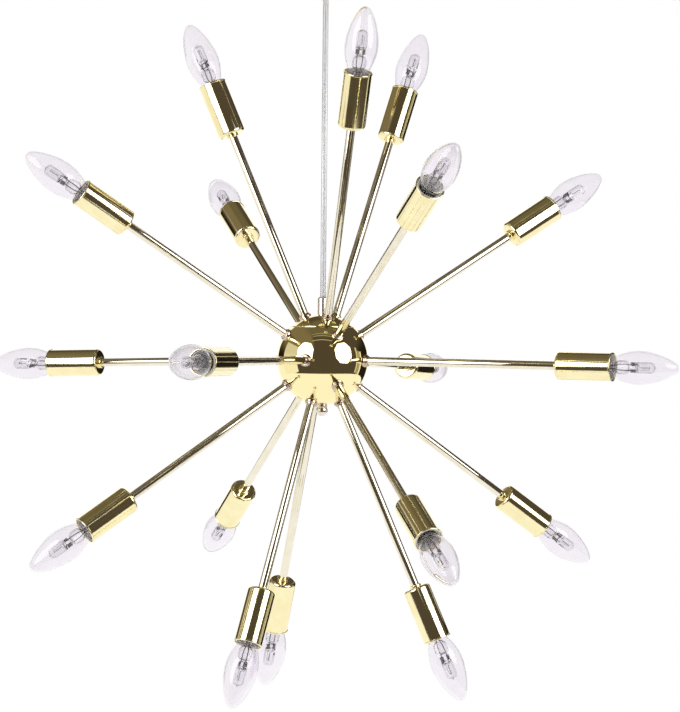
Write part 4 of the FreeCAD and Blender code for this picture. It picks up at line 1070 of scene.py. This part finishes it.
def bracket_cutters():
    places = [Matrix.Translation((side * CEILING_SCREW_SPACING / 2, 0, 0)) for side in (-1, 1)]
    screws = [pin(CEILING_SCREW_HOLE, -6, 3).moved(place) for place in places]
    across = Matrix.Translation((0, 0, -CANOPY_SCREW_DROP)) @ Matrix.Rotation(math.radians(90), 4, "Y")
    ears = pin(CANOPY_SCREW_RADIUS + 0.05, -CANOPY_RADIUS, CANOPY_RADIUS).moved(across)
    return screws + [pin(NIPPLE_RADIUS + 0.1, -BRACKET_DIP - 3, -BRACKET_DIP + 5), ears]


def terminal():
    """The block where the supply meets the lamp's cable."""
    low, high = Vector(TERMINAL_LOW), Vector(TERMINAL_HIGH)
    corners = [(low.x, low.z), (high.x, low.z), (high.x, high.z), (low.x, high.z)]
    return prism(corners, (high.y - low.y) / 2, 0.7)


def terminal_wells(radius, bottom, top):
    """Rods where the terminal's screws sit."""
    low, high = Vector(TERMINAL_LOW), Vector(TERMINAL_HIGH)
    pitch = (high.y - low.y) / TERMINAL_WELLS
    made = []
    for k in range(TERMINAL_WELLS):
        place = ((low.x + high.x) / 2, low.y + pitch * (k + 0.5), high.z)
        made.append(pin(radius, bottom, top).moved(Matrix.Translation(place)))
    return made


def ceiling_fitting():
    turned = (
        ("canopy_shell", [canopy()], "canopy"),
        ("bush_turned", [bush()], "canopy_bush"),
        ("canopy_thumb_screws", [canopy_screw(-1), canopy_screw(1)], "canopy_screws"),
    )
    for name, shapes, node in turned:
        put(name, new_mesh(name, shapes, TURNED_BRASS), "rose", [node])
    strap = with_cuts(new_mesh("ceiling_strap", [bracket()], PLATE_STEEL), bracket_cutters())
    put("ceiling_strap", strap, "rose", ["ceiling_bracket"])
    wells = terminal_wells(TERMINAL_WELL_RADIUS, -TERMINAL_WELL_DEPTH, 1)
    block = with_cuts(new_mesh("terminal_block", [terminal()], WHITE), wells)
    put("terminal_block", block, "rose", ["mains_terminal"])
    heads = terminal_wells(TERMINAL_WELL_RADIUS - 0.2, -TERMINAL_WELL_DEPTH, -TERMINAL_WELL_DEPTH + 1.2)
    put("terminal_screws", new_mesh("terminal_screws", heads, PLATE_STEEL), "rose")


# ---- the nodes whose shape stays
KEPT_NODES = {
    NODE_STEEL: ("bush_nut", "cable_anchor", "anchor_nut", "anchor_screw", "stem_screw", "stem_nipple",
                 "stem_nut", "wiring_stirrup", "centre_rod", "rod_nuts", "lock_nuts"),
    NODE_WHITE: ("junction_block",),
    NODE_SHEATH: ("supply_cores", "tail_cores", "arm_leads"),
    NODE_CLEAR: ("cable_stub", "cable_neck", "cable_tail"),
}


def dress_kept_nodes():
    for material, names in KEPT_NODES.items():
        for name in names:
            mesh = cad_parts[name].data
            mesh.materials.clear()
            mesh.materials.append(material)


# ---- the studio
def axes_towards(azimuth, elevation):
    """Ahead, aside and up for a direction from the ball; azimuth 0 is towards the camera, 90 on the right."""
    turn, tilt = math.radians(azimuth), math.radians(elevation)
    ahead = Vector((math.sin(turn) * math.cos(tilt), -math.cos(turn) * math.cos(tilt), math.sin(tilt)))
    aside = Vector((math.cos(turn), math.sin(turn), 0))
    return ahead, aside, ahead.cross(aside)


def sheet(name, rim, material):
    """A flat mesh inside a rim of points in millimetres."""
    mesh = bpy.data.meshes.new(name)
    mesh.from_pydata([point * MM for point in rim], [], [tuple(range(len(rim)))])
    mesh.materials.append(material)
    return mesh


def studio_world():
    """A dark room with a white backdrop and a lit left wall; the lens and dull surfaces see plain white."""
    world = bpy.data.worlds.new("studio")
    world.cycles.sampling_method = "NONE"
    bpy.context.scene.world = world
    nodes = Nodes(world)
    towards = nodes.make("TexCoord").outputs["Generated"]
    split = nodes.make("SeparateXYZ", {0: towards}).outputs
    x, y, z = split[0], split[1], split[2]

    def window(azimuth, elevation, half_width, half_height):
        """1 inside a window on the studio's walls, all in degrees."""
        ahead, side, above = axes_towards(azimuth, elevation)
        depth = nodes.dot(towards, ahead)
        safe = nodes.sum("MAXIMUM", depth, 0.001)
        reach = []
        for axis, half in ((side, half_width), (above, half_height)):
            share = nodes.sum("DIVIDE", nodes.dot(towards, axis), safe)
            share = nodes.sum("ABSOLUTE", nodes.sum("DIVIDE", share, math.tan(math.radians(half))))
            reach.append(share)
        far = nodes.sum("MAXIMUM", reach[0], reach[1])
        inside = nodes.step(far, 0.97, 1.03, 1.0, 0.0)
        return nodes.sum("MULTIPLY", inside, nodes.sum("GREATER_THAN", depth, 0.0))

    black = nodes.sum("MULTIPLY", nodes.step(y, 0.1, 0.45), nodes.step(z, 0.5, 0.2))
    room = nodes.mix(black, ROOM, ROOM_FRONT)
    loft_light = nodes.sum("MULTIPLY", nodes.step(x, -0.3, -0.45), nodes.step(z, 0.1, 0.5))
    room = nodes.mix(loft_light, room, ROOM_LEFT)
    room = nodes.mix(nodes.step(z, 0.80, 0.95), room, ROOM_TOP)
    wall = nodes.mix(nodes.step(z, -0.1, 0.25), *WALL)
    ground = nodes.sum("MULTIPLY", nodes.step(z, 0.0, -0.04), nodes.step(y, -0.3, 0.0))
    ground = nodes.sum("MULTIPLY", ground, nodes.step(x, 0.35, 0.25))
    sight = nodes.mix(ground, room, GROUND)
    for place, colour in ((LEFT_WALL, wall), *WINDOWS):
        sight = nodes.mix(window(*place), sight, colour)
    through = nodes.mix(nodes.step(z, 0.35, 0.9), PLAIN_WHITE, SEEN_THROUGH_GLASS)
    ray = nodes.make("LightPath").outputs
    sight = nodes.mix(ray["Is Transmission Ray"], sight, through)
    sight = nodes.mix(ray["Is Diffuse Ray"], sight, SOFT_WHITE)
    sight = nodes.mix(ray["Is Camera Ray"], sight, PLAIN_WHITE)
    light = nodes.make("Background", {"Color": sight}).outputs[0]
    nodes.make("OutputWorld", {"Surface": light})


def soft_box(name, azimuth, elevation, half_width, half_height, distance):
    """A lit panel with cut corners that faces the ball; only gloss sees it."""
    ahead, side, above = axes_towards(azimuth, elevation)
    middle = ahead * distance - Vector((0, 0, CEILING_TO_BALL))
    wide = math.tan(math.radians(half_width)) * distance
    high = math.tan(math.radians(half_height)) * distance
    cut = SOFT_BOX_CUT
    corners = ((1, cut), (cut, 1), (-cut, 1), (-1, cut), (-1, -cut), (-cut, -1), (cut, -1), (1, -cut))
    rim = [middle + side * wide * across + above * high * up for across, up in corners]
    nodes = Nodes(bpy.data.materials.new(name))
    glow = nodes.make("Emission", {"Color": PLAIN_WHITE, "Strength": SOFT_BOX_LIGHT}).outputs[0]
    panel = new_object(name, sheet(name, rim, nodes.finish(glow)))
    panel.visible_camera = False
    panel.visible_diffuse = False
    panel.visible_transmission = False
    panel.visible_shadow = False


def studio_floor():
    """An oval sheet of white paper far below the lamp, out of the photograph's view."""
    nodes = Nodes(bpy.data.materials.new("studio_paper"))
    grain = nodes.noise(nodes.place(False), 0.02)
    paper = nodes.mix(grain, *PAPER)
    matt = nodes.make("BsdfDiffuse", {"Color": paper}).outputs[0]
    glow = nodes.make("Emission", {"Color": PAPER_GLOW, "Strength": PAPER_LIGHT}).outputs[0]
    material = nodes.finish(nodes.make("AddShader", {0: matt, 1: glow}).outputs[0])
    height = -CEILING_TO_BALL - FLOOR_DROP
    rim = []
    for k in range(FLOOR_CORNERS):
        turn = 2 * math.pi * k / FLOOR_CORNERS
        deep = FLOOR_MIDDLE + FLOOR_HALF_DEPTH * math.sin(turn)
        rim.append(Vector((FLOOR_HALF_WIDTH * math.cos(turn), deep, height)))
    floor = new_object("floor", sheet("floor", rim, material))


def picture_settings():
    scene = bpy.context.scene
    scene.view_settings.view_transform = "Standard"
    scene.view_settings.look = "None"
    scene.cycles.max_bounces = 24
    scene.cycles.transmission_bounces = 20
    scene.cycles.glossy_bounces = 8
    scene.cycles.use_denoising = True
    scene.cycles.denoising_input_passes = "RGB"


arms()
bulbs()
ball()
ceiling_fitting()
dress_kept_nodes()
studio_world()
studio_floor()
soft_box("soft_box_left", *LEFT_BOX)
soft_box("soft_box_right", *RIGHT_BOX)
picture_settings()
